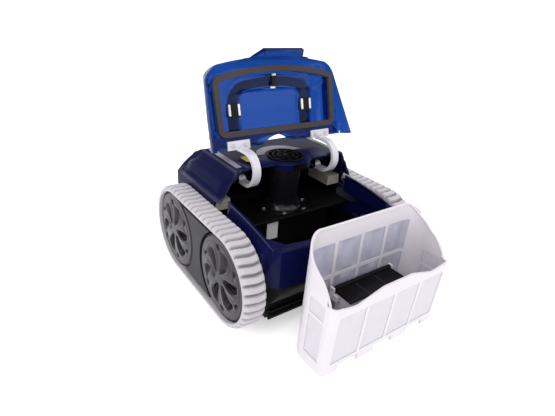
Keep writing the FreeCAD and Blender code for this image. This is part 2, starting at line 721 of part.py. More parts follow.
def upper_shell():
    """The glossy casing: rim, shoulders and deck, open above the basket bay and below."""
    shell = shell_blocks(0, SEAM_Z)
    shell = shell.cut(shell_blocks(BODY_WALL, SEAM_Z - 1))
    mouth = prism(body_plan(RIM_WALL, BODY_FRONT - RIM_SETBACK, DECK_FRONT + RIM_WALL, RIM_HALF),
                  "z", SEAM_Z, DECK_Z + 5)
    under_deck = hump_section(BODY_WALL, DECK_FRONT - 1, DECK_FRONT + 40)
    under_deck = under_deck.common(box(-BODY_HALF, BODY_HALF, DECK_FRONT - 1, DECK_FRONT + 40,
                                       SHELF_Z - BODY_WALL - 2, DECK_Z - DECK_LIP))
    shell = shell.cut(mouth).cut(under_deck)
    collar = upright(OUTLET_RADIUS + OUTLET_LIP, DECK_Z - DECK_LIP, DECK_Z, 0, OUTLET_Y)
    collar = collar.cut(upright(OUTLET_RADIUS + OUTLET_LIP - BODY_WALL, 0, DECK_UNDER, 0, OUTLET_Y))
    shell = shell.fuse(collar.common(box(-BODY_HALF, BODY_HALF, -BODY_FRONT, OUTLET_Y, 0, DECK_Z)))
    for x, y in screw_places():
        boss = upright(SCREW_BOSS_RADIUS, SEAM_Z, SEAM_Z + SCREW_BOSS_TOP, x, y)
        shell = shell.fuse(boss)
    shell = shell.cut(upright(OUTLET_RADIUS, DECK_UNDER - 1, DECK_Z + 1, 0, OUTLET_Y))
    for x, y in screw_places():
        shell = shell.cut(upright(SCREW_RADIUS + RUNNING_FIT, SEAM_Z - 1, SEAM_Z + SCREW_BITE, x, y))
    shell = shell.cut(Part.makeCylinder(GLAND_RADIUS + RUNNING_FIT, BODY_WALL + 2,
                                        V(GLAND_X, BODY_REAR - BODY_WALL - 1, GLAND_Z), Y_AXIS))
    for side_name, side in SIDES:
        slot_half = ARM_WIDTH / 2 + ARM_SLOT_GAP
        shell = shell.cut(box(side * ARM_X - slot_half, side * ARM_X + slot_half,
                              DECK_FRONT - 1, DECK_FRONT + ARM_SLOT_DEPTH, DECK_Z - 30, DECK_Z + 1))
        for name, y in AXLES:
            shell = shell.cut(side_box(side, BODY_HALF - CHEEK_THICKNESS - SEAT_GAP, BODY_HALF + 1,
                                       y - CHEEK_HALF - SEAT_GAP, y + CHEEK_HALF + SEAT_GAP,
                                       SEAM_Z - 1, CHEEK_TOP + SEAT_GAP))
    return shell.removeSplitter()


def chassis_blocks(grow, top):
    """The tub's mass: its ends lean in below, and the plan's bow takes over just under the seam."""
    side = prism([
        (-BODY_FRONT + UNDERCUT + grow, FLOOR_Z + grow),
        (-BODY_FRONT - 1 + grow, SEAM_Z),
        (-BODY_FRONT - 1 + grow, top),
        (BODY_REAR - grow, top),
        (BODY_REAR - grow, SEAM_Z),
        (BODY_REAR - UNDERCUT - grow, FLOOR_Z + grow),
    ], "x", -BODY_HALF + grow, BODY_HALF - grow)
    plan = body_plan(grow, BODY_FRONT, BODY_REAR, BODY_HALF)
    return side.common(prism(plan, "z", 0, top))


def brush_bay(end, grow):
    """The arch over a brush, open to the front (-1) or rear (1) and below."""
    inner = BRUSH_Y - BRUSH_RADIUS - BRUSH_CLEARANCE - grow
    outer = BODY_FRONT + 20
    half = BRUSH_BAY_HALF + grow
    top = BRUSH_Z + BRUSH_RADIUS + BRUSH_CLEARANCE + grow
    return box(-half, half, min(end * inner, end * outer), max(end * inner, end * outer), 0, top)


def lower_chassis():
    """The black tub: axle cheeks, brush bays, intake, motor cradles and screw bosses."""
    floor = FLOOR_Z + BODY_WALL
    side_wall = BODY_HALF - BODY_WALL
    space = chassis_blocks(BODY_WALL, SEAM_Z + 1)
    for end in (-1, 1):
        space = space.cut(brush_bay(end, BAY_WALL))
    tub = chassis_blocks(0, SEAM_Z).cut(space)
    solids = []
    for side_name, side in SIDES:
        for name, y in AXLES:
            solids.append(side_box(side, BODY_HALF - CHEEK_THICKNESS, BODY_HALF, y - CHEEK_HALF,
                                   y + CHEEK_HALF, AXLE_Z - CHEEK_HALF, CHEEK_TOP))
        for end in (-1, 1):
            solids.append(rod(side, BRUSH_CORE, BRUSH_BAY_HALF + BAY_WALL - 1, side_wall + 1,
                              end * BRUSH_Y, BRUSH_Z))
        solids.append(side_box(side, side_wall - DRIVE_MOTOR_LENGTH + 6, side_wall + 1,
                               PINION_Y - CRADLE_HALF, PINION_Y + CRADLE_HALF, floor - 1, AXLE_Z))
    for x, y in screw_places():
        solids.append(upright(SCREW_BOSS_RADIUS, FLOOR_Z, SEAM_Z, x, y))
    collar_half = INTAKE_HALF + BAY_WALL
    collar_reach = INTAKE_DEPTH / 2 + BAY_WALL
    solids.append(box(-collar_half, collar_half, INTAKE_Y - collar_reach, INTAKE_Y + collar_reach,
                      floor - 1, floor + INTAKE_COLLAR))
    tub = fused([tub] + solids)
    for end in (-1, 1):
        tub = tub.cut(brush_bay(end, 0))
    tub = tub.cut(box(-INTAKE_HALF, INTAKE_HALF, INTAKE_Y - INTAKE_DEPTH / 2,
                      INTAKE_Y + INTAKE_DEPTH / 2, 0, floor + INTAKE_COLLAR + 1))
    for side_name, side in SIDES:
        for name, y in AXLES:
            tub = tub.cut(rod(side, AXLE_RADIUS + RUNNING_FIT, side_wall - CHEEK_THICKNESS,
                              BODY_HALF + 1, y, AXLE_Z))
        for end in (-1, 1):
            tub = tub.cut(rod(side, SHAFT_RADIUS + RUNNING_FIT, BRUSH_HALF,
                              BRUSH_BAY_HALF + BRUSH_STUB, end * BRUSH_Y, BRUSH_Z))
        tub = tub.cut(rod(side, DRIVE_MOTOR_RADIUS + RUNNING_FIT, side_wall - DRIVE_MOTOR_LENGTH - 1,
                          side_wall, PINION_Y, AXLE_Z))
        tub = tub.cut(rod(side, DRIVE_SHAFT_RADIUS + SEAT_GAP, side_wall - 1, BODY_HALF + 1,
                          PINION_Y, AXLE_Z))
    for x, y in screw_places():
        tub = tub.cut(upright(SCREW_RADIUS + RUNNING_FIT, 0, SEAM_Z + 1, x, y))
        tub = tub.cut(upright(SCREW_HEAD_RADIUS + SEAT_GAP, 0, FLOOR_Z + SCREW_SINK, x, y))
    return tub


def shell_screws():
    """Four long screws from below, through the chassis into the shell's bosses."""
    screws = []
    for x, y in screw_places():
        head = upright(SCREW_HEAD_RADIUS, FLOOR_Z + SCREW_SINK - SCREW_HEAD, FLOOR_Z + SCREW_SINK, x, y)
        shank = upright(SCREW_RADIUS, FLOOR_Z + SCREW_SINK, SEAM_Z + SCREW_BITE - 1, x, y)
        screws.append(head.fuse(shank))
    return group(screws)


def wheel_axles():
    return group([axle(side, y) for side_name, side in SIDES for name, y in AXLES])


def cable_gland():
    """The ribbed sleeve in the rear wall through which the float cable enters."""
    inner = BODY_REAR - BODY_WALL - 4
    sleeve = Part.makeCylinder(GLAND_RADIUS, GLAND_REACH + BODY_WALL + 4, V(GLAND_X, inner, GLAND_Z), Y_AXIS)
    for rib in range(2):
        y = BODY_REAR + rib * (GLAND_REACH - 2.5)
        sleeve = sleeve.fuse(Part.makeCylinder(GLAND_RADIUS + 3, 2.5, V(GLAND_X, y, GLAND_Z), Y_AXIS))
    bore = Part.makeCylinder(GLAND_BORE, 60, V(GLAND_X, inner - 1, GLAND_Z), Y_AXIS)
    return sleeve.cut(bore)


# ---------------------------------------------------------------- pump and outlet
def motor_housing():
    """The sealed black housing with a ledge round its top."""
    floor = FLOOR_Z + BODY_WALL
    under = MOTOR_TOP_Z - MOTOR_LEDGE
    body = box(-MOTOR_BODY_HALF, MOTOR_BODY_HALF, MOTOR_FRONT + MOTOR_INSET, MOTOR_REAR - MOTOR_INSET,
               floor, under)
    ledge = box(MOTOR_LEFT, MOTOR_RIGHT, MOTOR_FRONT, MOTOR_REAR, under, MOTOR_TOP_Z)
    top_edges = [e for e in ledge.Edges if e.BoundBox.ZMin > MOTOR_TOP_Z - 0.1]
    ledge = ledge.makeFillet(LEDGE_ROUND, top_edges)
    housing = fused([body, ledge])
    housing = housing.cut(box(-MOTOR_BODY_HALF + MOTOR_WALL, MOTOR_BODY_HALF - MOTOR_WALL,
                              MOTOR_FRONT + MOTOR_INSET + MOTOR_WALL,
                              MOTOR_REAR - MOTOR_INSET - MOTOR_WALL,
                              floor + MOTOR_WALL, under - MOTOR_WALL))
    shaft_hole = upright(SHAFT_RADIUS + SEAT_GAP, under - MOTOR_WALL - 1, MOTOR_TOP_Z + 1, 0, OUTLET_Y)
    housing = housing.cut(shaft_hole)
    for x, y in tube_screw_places():
        housing = housing.cut(upright(SCREW_RADIUS + RUNNING_FIT, MOTOR_TOP_Z - TUBE_SCREW_BITE,
                                      MOTOR_TOP_Z + 1, x, y))
    return housing


def pump_motor():
    """The motor can inside the housing; its top end plate stops just under the housing's roof."""
    base = FLOOR_Z + BODY_WALL + MOTOR_WALL
    top = MOTOR_TOP_Z - MOTOR_LEDGE - MOTOR_WALL - SEAT_GAP
    can = upright(PUMP_MOTOR_RADIUS, base, top, 0, OUTLET_Y)
    return can.cut(upright(SHAFT_RADIUS + RUNNING_FIT, top - PUMP_SHAFT_SEAT, top + 1, 0, OUTLET_Y))


def tube_screw_places():
    places = []
    for angle in (-60, -120, -5, -175):
        turn = math.radians(angle)
        places.append((TUBE_SCREW_CIRCLE * math.cos(turn), OUTLET_Y + TUBE_SCREW_CIRCLE * math.sin(turn)))
    return places


def flow_tube():
    """The tube from the motor housing up to the outlet, with water windows at its rear."""
    face = Part.Face(wire([
        (TUBE_RADIUS - TUBE_WALL, MOTOR_TOP_Z),
        (TUBE_SCREW_CIRCLE + 7, MOTOR_TOP_Z),
        (TUBE_SCREW_CIRCLE + 7, MOTOR_TOP_Z + TUBE_FLANGE),
        (TUBE_RADIUS + TUBE_FLARE * 0.6, MOTOR_TOP_Z + TUBE_FLANGE),
        (TUBE_RADIUS, MOTOR_TOP_Z + TUBE_FLARE * 2, TUBE_RADIUS + 2, MOTOR_TOP_Z + TUBE_FLARE),
        (TUBE_RADIUS, DECK_UNDER - TUBE_FLANGE),
        (OUTLET_RADIUS + 6, DECK_UNDER - TUBE_FLANGE),
        (OUTLET_RADIUS + 6, DECK_UNDER),
        (TUBE_RADIUS - TUBE_WALL, DECK_UNDER),
    ]))
    face.rotate(V(0, 0, 0), X_AXIS, 90)
    tube = face.revolve(V(0, 0, 0), Z_AXIS, 360)
    tube.translate(V(0, OUTLET_Y, 0))
    tube = tube.common(box(-BODY_HALF, BODY_HALF, MOTOR_FRONT + 1, BODY_REAR, 0, DECK_Z))
    for angle in (40, 90, 140):
        window = box(TUBE_RADIUS - TUBE_WALL - 3, TUBE_RADIUS + TUBE_FLARE + 8, -8, 8,
                     MOTOR_TOP_Z + TUBE_FLANGE + 2, MOTOR_TOP_Z + TUBE_FLANGE + 24)
        window.rotate(V(0, 0, 0), Z_AXIS, angle)
        window.translate(V(0, OUTLET_Y, 0))
        tube = tube.cut(window)
    for x, y in tube_screw_places():
        hole = upright(SCREW_RADIUS + RUNNING_FIT, MOTOR_TOP_Z - 1, MOTOR_TOP_Z + TUBE_FLANGE + 1, x, y)
        tube = tube.cut(hole)
    return tube


def tube_screws():
    screws = []
    for x, y in tube_screw_places():
        top = MOTOR_TOP_Z + TUBE_FLANGE
        shank = upright(SCREW_RADIUS, MOTOR_TOP_Z - TUBE_SCREW_BITE + 1, top, x, y)
        screws.append(shank.fuse(upright(SCREW_HEAD_RADIUS, top, top + SCREW_HEAD, x, y)))
    return group(screws)


def outlet_grille():
    """A ring with curved spokes, standing on the flow tube's upper flange."""
    outer = OUTLET_RADIUS - SEAT_GAP
    top = DECK_Z + GRILLE_RISE
    ring = upright(outer, DECK_UNDER, top, 0, 0).cut(upright(outer - GRILLE_RING, 0, top + 1, 0, 0))
    solids = [ring, upright(GRILLE_HUB, top - GRILLE_THICKNESS, top, 0, 0)]
    for share in (0.42, 0.7):
        radius = outer * share
        band = upright(radius + 1.0, top - GRILLE_THICKNESS, top, 0, 0)
        solids.append(band.cut(upright(radius - 1.0, 0, top + 1, 0, 0)))
    reach = outer - GRILLE_RING / 2
    middle = (GRILLE_HUB + reach) / 2
    spoke = prism([
        (GRILLE_HUB - 2, -1.0),
        (reach, -1.0, middle, 5.0),
        (reach, 1.0),
        (GRILLE_HUB - 2, 1.0, middle, 7.0),
    ], "z", top - GRILLE_THICKNESS, top)
    for arm in range(GRILLE_ARMS):
        copy = spoke.copy()
        copy.rotate(V(0, 0, 0), Z_AXIS, 360 / GRILLE_ARMS * arm)
        solids.append(copy)
    grille = fused(solids)
    grille.translate(V(0, OUTLET_Y, 0))
    return grille


def impeller():
    """Four pitched blades on a hub, in the tube under the grille."""
    top = IMPELLER_Z + IMPELLER_HEIGHT
    hub = upright(IMPELLER_HUB, IMPELLER_Z, top, 0, 0)
    blades = []
    for blade in range(IMPELLER_BLADES):
        plate = Part.makeBox(IMPELLER_RADIUS + 2, 2.4, 26, V(0, -1.2, -13))
        plate.rotate(V(0, 0, 0), X_AXIS, 52)
        plate.translate(V(0, 0, (IMPELLER_Z + top) / 2))
        plate.rotate(V(0, 0, 0), Z_AXIS, 360 / IMPELLER_BLADES * blade)
        blades.append(plate)
    rotor = fused([hub] + blades).common(upright(IMPELLER_RADIUS, IMPELLER_Z, top, 0, 0))
    rotor = rotor.cut(upright(SHAFT_RADIUS, 0, DECK_Z, 0, 0))
    rotor.translate(V(0, OUTLET_Y, 0))
    return rotor


def impeller_shaft():
    top = MOTOR_TOP_Z - MOTOR_LEDGE - MOTOR_WALL - SEAT_GAP
    return upright(SHAFT_RADIUS, top - PUMP_SHAFT_SEAT + SEAT_GAP, IMPELLER_Z + IMPELLER_HEIGHT, 0, OUTLET_Y)


def foam_float(side):
    outer = BODY_HALF - BODY_WALL - SEAT_GAP
    top = SHOULDER_Z - BODY_WALL - SEAT_GAP
    front = DECK_FRONT + FLOAT_SETBACK
    return side_box(side, outer - FLOAT_WIDTH, outer, front, front + FLOAT_LENGTH,
                    top - FLOAT_HEIGHT, top)


def rating_label():
    """A plain white label on the housing's front wall."""
    front = MOTOR_FRONT + MOTOR_INSET
    return box(-64, -37, front - LABEL_THICKNESS, front, 90, MOTOR_TOP_Z - MOTOR_LEDGE - 1)


def caution_patch():
    """A plain yellow patch on the deck."""
    patch = box(-90, -60, 14, 44, DECK_Z, DECK_Z + LABEL_THICKNESS)
    return patch.makeFillet(6, vertical_edges(patch, lambda p: True))


def deck_trim(side):
    """A grey strip along the deck's side edge."""
    outer = DECK_HALF - 1.5
    strip = side_box(side, outer - TRIM_WIDTH, outer, DECK_FRONT + 12, DECK_REAR - 8,
                     DECK_Z, DECK_Z + TRIM_THICKNESS)
    return strip.makeFillet(3, vertical_edges(strip, lambda p: True))


def outlet_trim():
    """A grey crescent on the deck behind the outlet."""
    inner = OUTLET_RADIUS + 4
    crescent = upright(inner + 16, DECK_Z, DECK_Z + TRIM_THICKNESS, 0, OUTLET_Y + 4)
    crescent = crescent.cut(upright(inner, 0, DECK_Z + 5, 0, OUTLET_Y))
    return crescent.common(box(-100, 100, OUTLET_Y + 24, 200, 0, DECK_Z + 5))


def brush(end):
    """A roller with raised rubber fins, and a stub shaft at each end."""
    y = end * BRUSH_Y
    solids = [rod(1, BRUSH_CORE, 0, BRUSH_HALF, 0, 0), rod(-1, BRUSH_CORE, 0, BRUSH_HALF, 0, 0)]
    for fin in range(BRUSH_FINS):
        plate = box(-BRUSH_HALF, BRUSH_HALF, -BRUSH_FIN / 2, BRUSH_FIN / 2, BRUSH_CORE - 1, BRUSH_RADIUS)
        plate.rotate(V(0, 0, 0), X_AXIS, 360 / BRUSH_FINS * fin)
        solids.append(plate)
    for side_name, side in SIDES:
        solids.append(rod(side, SHAFT_RADIUS, BRUSH_HALF - 1, BRUSH_BAY_HALF + BRUSH_STUB - 1, 0, 0))
    roller = fused(solids)
    roller.translate(V(0, y, BRUSH_Z))
    return roller


# ---------------------------------------------------------------- lid, hinges and handle
def opened(shape):
    """A piece of the level lid, swung up to the lid's open stop."""
    turned_shape = shape.copy()
    turned_shape.rotate(V(0, DRAWING_PIVOT_Y, DRAWING_PIVOT_Z), X_AXIS, -LID_SWING)
    return turned_shape


def hinge_bracket(side):
    """Two lugs under the deck that hold a hinge pin between them."""
    inner = ARM_X - ARM_WIDTH / 2 - LUG_GAP
    outer = ARM_X + ARM_WIDTH / 2 + LUG_GAP
    lugs = []
    for low, high in ((inner - LUG_THICKNESS, inner), (outer, outer + LUG_THICKNESS)):
        lug = side_box(1, low, high, HINGE_Y - ARM_EYE, HINGE_Y + ARM_EYE, HINGE_Z, DECK_UNDER)
        lugs.append(lug.fuse(rod(1, ARM_EYE, low, high, HINGE_Y, HINGE_Z)))
    bridge = side_box(1, inner - LUG_THICKNESS, outer + LUG_THICKNESS, HINGE_Y - ARM_EYE,
                      HINGE_Y + ARM_EYE, DECK_UNDER - LUG_THICKNESS, DECK_UNDER)
    bracket = fused(lugs + [bridge])
    bracket = bracket.cut(rod(1, HINGE_PIN_RADIUS + RUNNING_FIT, 0, BODY_HALF, HINGE_Y, HINGE_Z))
    return on_side(bracket, side)


def hinge_pin(side):
    reach = ARM_WIDTH / 2 + LUG_GAP + LUG_THICKNESS
    pin = rod(1, HINGE_PIN_RADIUS, ARM_X - reach, ARM_X + reach, HINGE_Y, HINGE_Z)
    head = rod(1, HINGE_PIN_RADIUS + 2, ARM_X + reach, ARM_X + reach + 1.5, HINGE_Y, HINGE_Z)
    return on_side(pin.fuse(head), side)


def plate_centre():
    """The middle of a hinge plate with the lid shut: (y, z) of its face against the lid."""
    return (GASKET_REAR + PLATE_SETBACK + HINGE_PLATE_HEIGHT / 2, GASKET_Z)


def hinge_arm(side):
    """A white gooseneck: an eye on the pin, a forward loop round the deck's edge, and a plate."""
    low, high = ARM_X - ARM_WIDTH / 2, ARM_X + ARM_WIDTH / 2
    t = ARM_THICKNESS / 2
    run_z = HINGE_Z - LOOP_DROP
    loop_y, loop_z = HINGE_Y - LOOP_SETBACK, run_z + LOOP_RADIUS
    end_y = HINGE_Y - LOOP_DROP
    top = loop_z + LOOP_RADIUS
    neck = prism([
        (loop_y, run_z + t),
        (loop_y, top - t, loop_y - LOOP_RADIUS + t, loop_z),
        (end_y, top - t),
        (end_y, top + t),
        (loop_y, top + t),
        (loop_y, run_z - t, loop_y - LOOP_RADIUS - t, loop_z),
        (HINGE_Y, run_z - t),
        (HINGE_Y, run_z + t),
    ], "x", low, high)
    eye = rod(1, ARM_EYE, low, high, HINGE_Y, HINGE_Z)
    y, z = plate_centre()
    plate = box(ARM_X + PLATE_SHIFT - HINGE_PLATE_WIDTH / 2, ARM_X + PLATE_SHIFT + HINGE_PLATE_WIDTH / 2,
                y - HINGE_PLATE_HEIGHT / 2, y + HINGE_PLATE_HEIGHT / 2, z - HINGE_PLATE_THICKNESS, z)
    foot = box(low, high, y + HINGE_PLATE_HEIGHT / 2 - 4, y + HINGE_PLATE_HEIGHT / 2 + 3,
               z - HINGE_PLATE_THICKNESS - PLATE_FOOT, z)
    arm = fused([neck, eye, opened(plate), opened(foot)])
    arm = arm.cut(rod(1, HINGE_PIN_RADIUS + RUNNING_FIT, 0, BODY_HALF, HINGE_Y, HINGE_Z))
    for x, hole_y in hinge_screw_places():
        if x > 0:
            hole = upright(SCREW_RADIUS + RUNNING_FIT, z - 30, z + 1, x, hole_y)
            arm = arm.cut(opened(hole))
    return on_side(arm, side)


def hinge_screw_places():
    y, z = plate_centre()
    places = []
    for side_name, side in SIDES:
        for step in (-1, 1):
            places.append((side * (ARM_X + PLATE_SHIFT + step * SCREW_SPACING / 2), y))
    return places


def hinge_screws():
    y, z = plate_centre()
    screws = []
    for x, hole_y in hinge_screw_places():
        low = z - HINGE_PLATE_THICKNESS
        head = upright(SCREW_HEAD_RADIUS - 1, low - SCREW_HEAD + 1, low, x, hole_y)
        shank = upright(SCREW_RADIUS, low, z + LID_WALL + 5, x, hole_y)
        screws.append(opened(head.fuse(shank)))
    return group(screws)


def lid_blocks(grow):
    """The lid's outer mass, level, drawn in by a wall thickness. The plan's bow makes its front."""
    foot = LID_SKIRT_Z - (1 if grow else 0)
    rear_top = (LID_REAR - grow, LID_REAR_Z - grow)
    brow = (LID_BROW_Y, LID_BROW_Z - grow)
    lip = (LID_FRONT - 1 + grow, LID_CORNER_Z)
    side = prism([
        (LID_REAR - grow, foot),
        rear_top,
        bulge(rear_top, brow, -LID_CROWN),
        bulge(brow, lip, -LID_BROW_ROUND),
        (LID_FRONT - 1 + grow, foot),
    ], "x", -LID_HALF, LID_HALF)
    half, top_half = LID_HALF - grow, LID_TOP_HALF - grow
    roof = LID_REAR_Z + 2 * LID_CROWN
    shoulder = (half - LID_SHOULDER_IN, LID_SHOULDER_Z)
    edge = (top_half, LID_REAR_Z - grow)
    left_shoulder, left_edge = (-shoulder[0], shoulder[1]), (-edge[0], edge[1])
    front = prism([
        (-half, foot),
        left_shoulder,
        bulge(left_shoulder, left_edge, LID_SIDE_ROUND),
        (-top_half + 30, LID_REAR_Z + 6 - grow),
        (-top_half + 30, roof),
        (top_half - 30, roof),
        (top_half - 30, LID_REAR_Z + 6 - grow),
        edge,
        bulge(edge, shoulder, LID_SIDE_ROUND),
        (half, foot),
    ], "y", LID_FRONT - 20, LID_REAR)
    front_half = LID_FRONT_HALF - grow
    bend_front = (front_half - LID_CORNER, LID_FRONT + LID_BOW + grow)
    bend_side = (front_half, LID_FRONT + LID_BOW + LID_CORNER_DEPTH)
    left_side, left_front = (-bend_side[0], bend_side[1]), (-bend_front[0], bend_front[1])
    plan = prism([
        (half, LID_REAR),
        (-half, LID_REAR),
        left_side,
        bulge(left_side, left_front, -LID_CORNER_ROUND),
        bulge(left_front, bend_front, -LID_BOW),
        bulge(bend_front, bend_side, -LID_CORNER_ROUND),
    ], "z", foot, roof)
    return side.common(front).common(plan)


def gasket_plan(inset):
    """The seal's outline, shut, seen from above."""
    half = GASKET_HALF - inset
    rear = GASKET_REAR - inset
    front = GASKET_FRONT + inset
    r = GASKET_CORNER - inset
    k = r * (1 - math.sqrt(0.5))
    return [
        (-half + r, rear),
        (-half, rear - r, -half + k, rear - k),
        (-half, front + r),
        (-half + r, front, -half + k, front + k),
        (half - r, front, 0, front - GASKET_BOW),
        (half, front + r, half - k, front + k),
        (half, rear - r),
        (half - r, rear, half - k, rear - k),
    ]


def ring(outer_inset, inner_inset, z0, z1):
    outer = prism(gasket_plan(outer_inset), "z", z0, z1)
    return outer.cut(prism(gasket_plan(inner_inset), "z", z0 - 1, z1 + 1))


def handle_plan(grow):
    """The handle's U, shut, seen from above, widened by a clearance."""
    half = HANDLE_HALF + HANDLE_WIDTH / 2 + grow
    inner = HANDLE_HALF - HANDLE_WIDTH / 2 - grow
    rear = HANDLE_REAR + grow
    front = HANDLE_FRONT - HANDLE_WIDTH / 2 - grow
    inner_front = HANDLE_FRONT + HANDLE_WIDTH / 2 + grow
    inner_bend = HANDLE_BEND - HANDLE_WIDTH - 2 * grow
    out_side, out_front = (half, front + HANDLE_BEND), (half - HANDLE_BEND, front)
    in_side, in_front = (inner, inner_front + inner_bend), (inner - inner_bend, inner_front)
    out_left, in_left = (-out_front[0], front), (-in_front[0], inner_front)
    return [
        (half, rear),
        (inner, rear),
        in_side,
        bulge(in_side, in_front, inner_bend * 0.29),
        bulge(in_front, in_left, HANDLE_BOW),
        bulge(in_left, (-in_side[0], in_side[1]), inner_bend * 0.29),
        (-inner, rear),
        (-half, rear),
        (-out_side[0], out_side[1]),
        bulge((-out_side[0], out_side[1]), out_left, -HANDLE_BEND * 0.29),
        bulge(out_left, out_front, -HANDLE_BOW),
        bulge(out_front, out_side, -HANDLE_BEND * 0.29),
    ]


def handle_groove():
    """The U-shaped recess in the lid's outer face, deeper where the handle's ends turn."""
    groove = prism(handle_plan(GROOVE_CLEARANCE), "z", 0, LID_REAR_Z + 20).cut(lid_blocks(GROOVE_DEPTH))
    y, z = handle_pin_place()
    reach = HANDLE_WIDTH / 2 + GROOVE_CLEARANCE
    for side_name, side in SIDES:
        groove = groove.fuse(rod(side, HANDLE_END + GROOVE_CLEARANCE / 2, HANDLE_HALF - reach,
                                 HANDLE_HALF + reach, y, z))
    return groove


def handle_band(grow, low, high):
    """The U between two depths below the lid's outer face."""
    band = prism(handle_plan(grow), "z", LID_SKIRT_Z, LID_REAR_Z + 15)
    if high > 0:
        band = band.common(lid_blocks(high))
    return band.cut(lid_blocks(low))


def below_skirt():
    """What lies under the skirt's lower edge, which climbs to the front corners and dips at the lip."""
    edge_y = LID_FRONT + LID_BOW + LID_CORNER_DEPTH
    below = prism([
        (LID_REAR + 1, LID_SKIRT_Z),
        (edge_y, LID_CORNER_Z),
        (LID_FRONT - 1, LID_CORNER_Z),
        (LID_FRONT - 1, 0),
        (LID_REAR + 1, 0),
    ], "x", -LID_HALF - 1, LID_HALF + 1)
    lip = box(-LID_LIP_HALF, LID_LIP_HALF, LID_FRONT - 2, LID_FRONT + LID_BOW, LID_LIP_Z, LID_CORNER_Z + 1)
    return below.cut(lip)


def finger_tab():
    """The grip that slopes out and down from the lip, with two studs on its inner face."""
    root_y = LID_FRONT + LID_WALL
    tip_y = LID_FRONT - TAB_REACH
    side = prism([
        (root_y, LID_LIP_Z + TAB_THICKNESS),
        (root_y, LID_LIP_Z),
        (tip_y + TAB_THICKNESS, LID_LIP_Z - TAB_DROP),
        (tip_y, LID_LIP_Z - TAB_DROP),
        (LID_FRONT, LID_LIP_Z + TAB_THICKNESS),
    ], "x", -TAB_BASE_HALF, TAB_BASE_HALF)
    plan = prism([
        (-TAB_BASE_HALF, root_y + 1),
        (-TAB_BASE_HALF, LID_FRONT + 2),
        (-TAB_HALF, tip_y - 1),
        (TAB_HALF, tip_y - 1),
        (TAB_BASE_HALF, LID_FRONT + 2),
        (TAB_BASE_HALF, root_y + 1),
    ], "z", 0, LID_REAR_Z)
    mid_y, mid_z = (root_y + tip_y) / 2, LID_LIP_Z - TAB_DROP * 0.55
    low, high = mid_z - TAB_THICKNESS, mid_z + TAB_THICKNESS / 2
    studs = [upright(TAB_STUD, low, high, sign * (TAB_HALF - 8), mid_y) for side_name, sign in SIDES]
    return fused([side.common(plan)] + studs)


def lid_shut():
    trough = prism(handle_plan(GROOVE_CLEARANCE + LID_WALL), "z", LID_SKIRT_Z, LID_REAR_Z + 15)
    trough = trough.cut(lid_blocks(GROOVE_DEPTH + LID_WALL))
    space = lid_blocks(LID_WALL).cut(trough)
    lid = lid_blocks(0).cut(space).cut(handle_groove()).cut(below_skirt())
    lid = lid.cut(box(-LID_HALF + 9, LID_HALF - 9, LID_REAR - 6, LID_REAR + 1, 0, GASKET_Z))
    seat = ring(0, GASKET_WIDTH, GASKET_Z, GASKET_Z + LID_WALL)
    inset = (GASKET_WIDTH - LID_WALL) / 2
    web = ring(inset, inset + LID_WALL, GASKET_Z, LID_REAR_Z + 15)
    ledge = box(-GASKET_HALF - 14, GASKET_HALF + 14, GASKET_REAR - 2, LID_REAR,
                GASKET_Z, GASKET_Z + LID_WALL)
    bosses = [upright(SCREW_BOSS_RADIUS - 2, GASKET_Z, GASKET_Z + 10, x, y) for x, y in hinge_screw_places()]
    solid = lid_blocks(0)
    web = web.common(solid).cut(handle_groove())
    lid = fused([lid, seat.common(solid), web, ledge.common(solid), finger_tab()] + bosses)
    lid = lid.cut(ring(0, GASKET_WIDTH, GASKET_Z - GASKET_HEIGHT, GASKET_Z))
    lid = lid.cut(upright(OUTLET_RADIUS + OUTLET_LIP + LID_ARC_GAP, 0, 400, 0, OUTLET_Y))
    for x, y in hinge_screw_places():
        lid = lid.cut(upright(SCREW_RADIUS + RUNNING_FIT, GASKET_Z - 1, GASKET_Z + LID_WALL + 5.2, x, y))
    lid = lid.cut(handle_pin_rods(HANDLE_PIN_RADIUS + RUNNING_FIT))
    return lid


def lid_cover():
    return opened(lid_shut())


def lid_gasket():
    return opened(ring(0, GASKET_WIDTH, GASKET_Z - GASKET_HEIGHT, GASKET_Z))


def handle_pin_place():
    return (HANDLE_REAR - HANDLE_END, LID_REAR_Z + HANDLE_PIN_RISE - HANDLE_SINK - HANDLE_THICKNESS / 2)


def handle_pin_rods(radius):
    y, z = handle_pin_place()
    reach = HANDLE_WIDTH / 2 + GROOVE_CLEARANCE + LID_WALL
    return fused([rod(side, radius, HANDLE_HALF - reach, HANDLE_HALF + reach, y, z)
                  for side_name, side in SIDES])


def handle_pins():
    return opened(handle_pin_rods(HANDLE_PIN_RADIUS))


def carry_handle():
    """The U-shaped handle lying in its groove, bored for its pins."""
    handle = handle_band(0, HANDLE_SINK + HANDLE_THICKNESS, HANDLE_SINK)
    y, z = handle_pin_place()
    inner, outer = HANDLE_HALF - HANDLE_WIDTH / 2 - 1, HANDLE_HALF + HANDLE_WIDTH / 2 + 1
    for side_name, side in SIDES:
        end = side_box(side, inner, outer, y, HANDLE_REAR + 1, z - HANDLE_THICKNESS, z + HANDLE_THICKNESS)
        handle = handle.cut(end.cut(rod(side, HANDLE_END_ROUND, inner, outer, y, z)))
    handle = handle.cut(handle_pin_rods(HANDLE_PIN_RADIUS + RUNNING_FIT))
    return opened(handle)


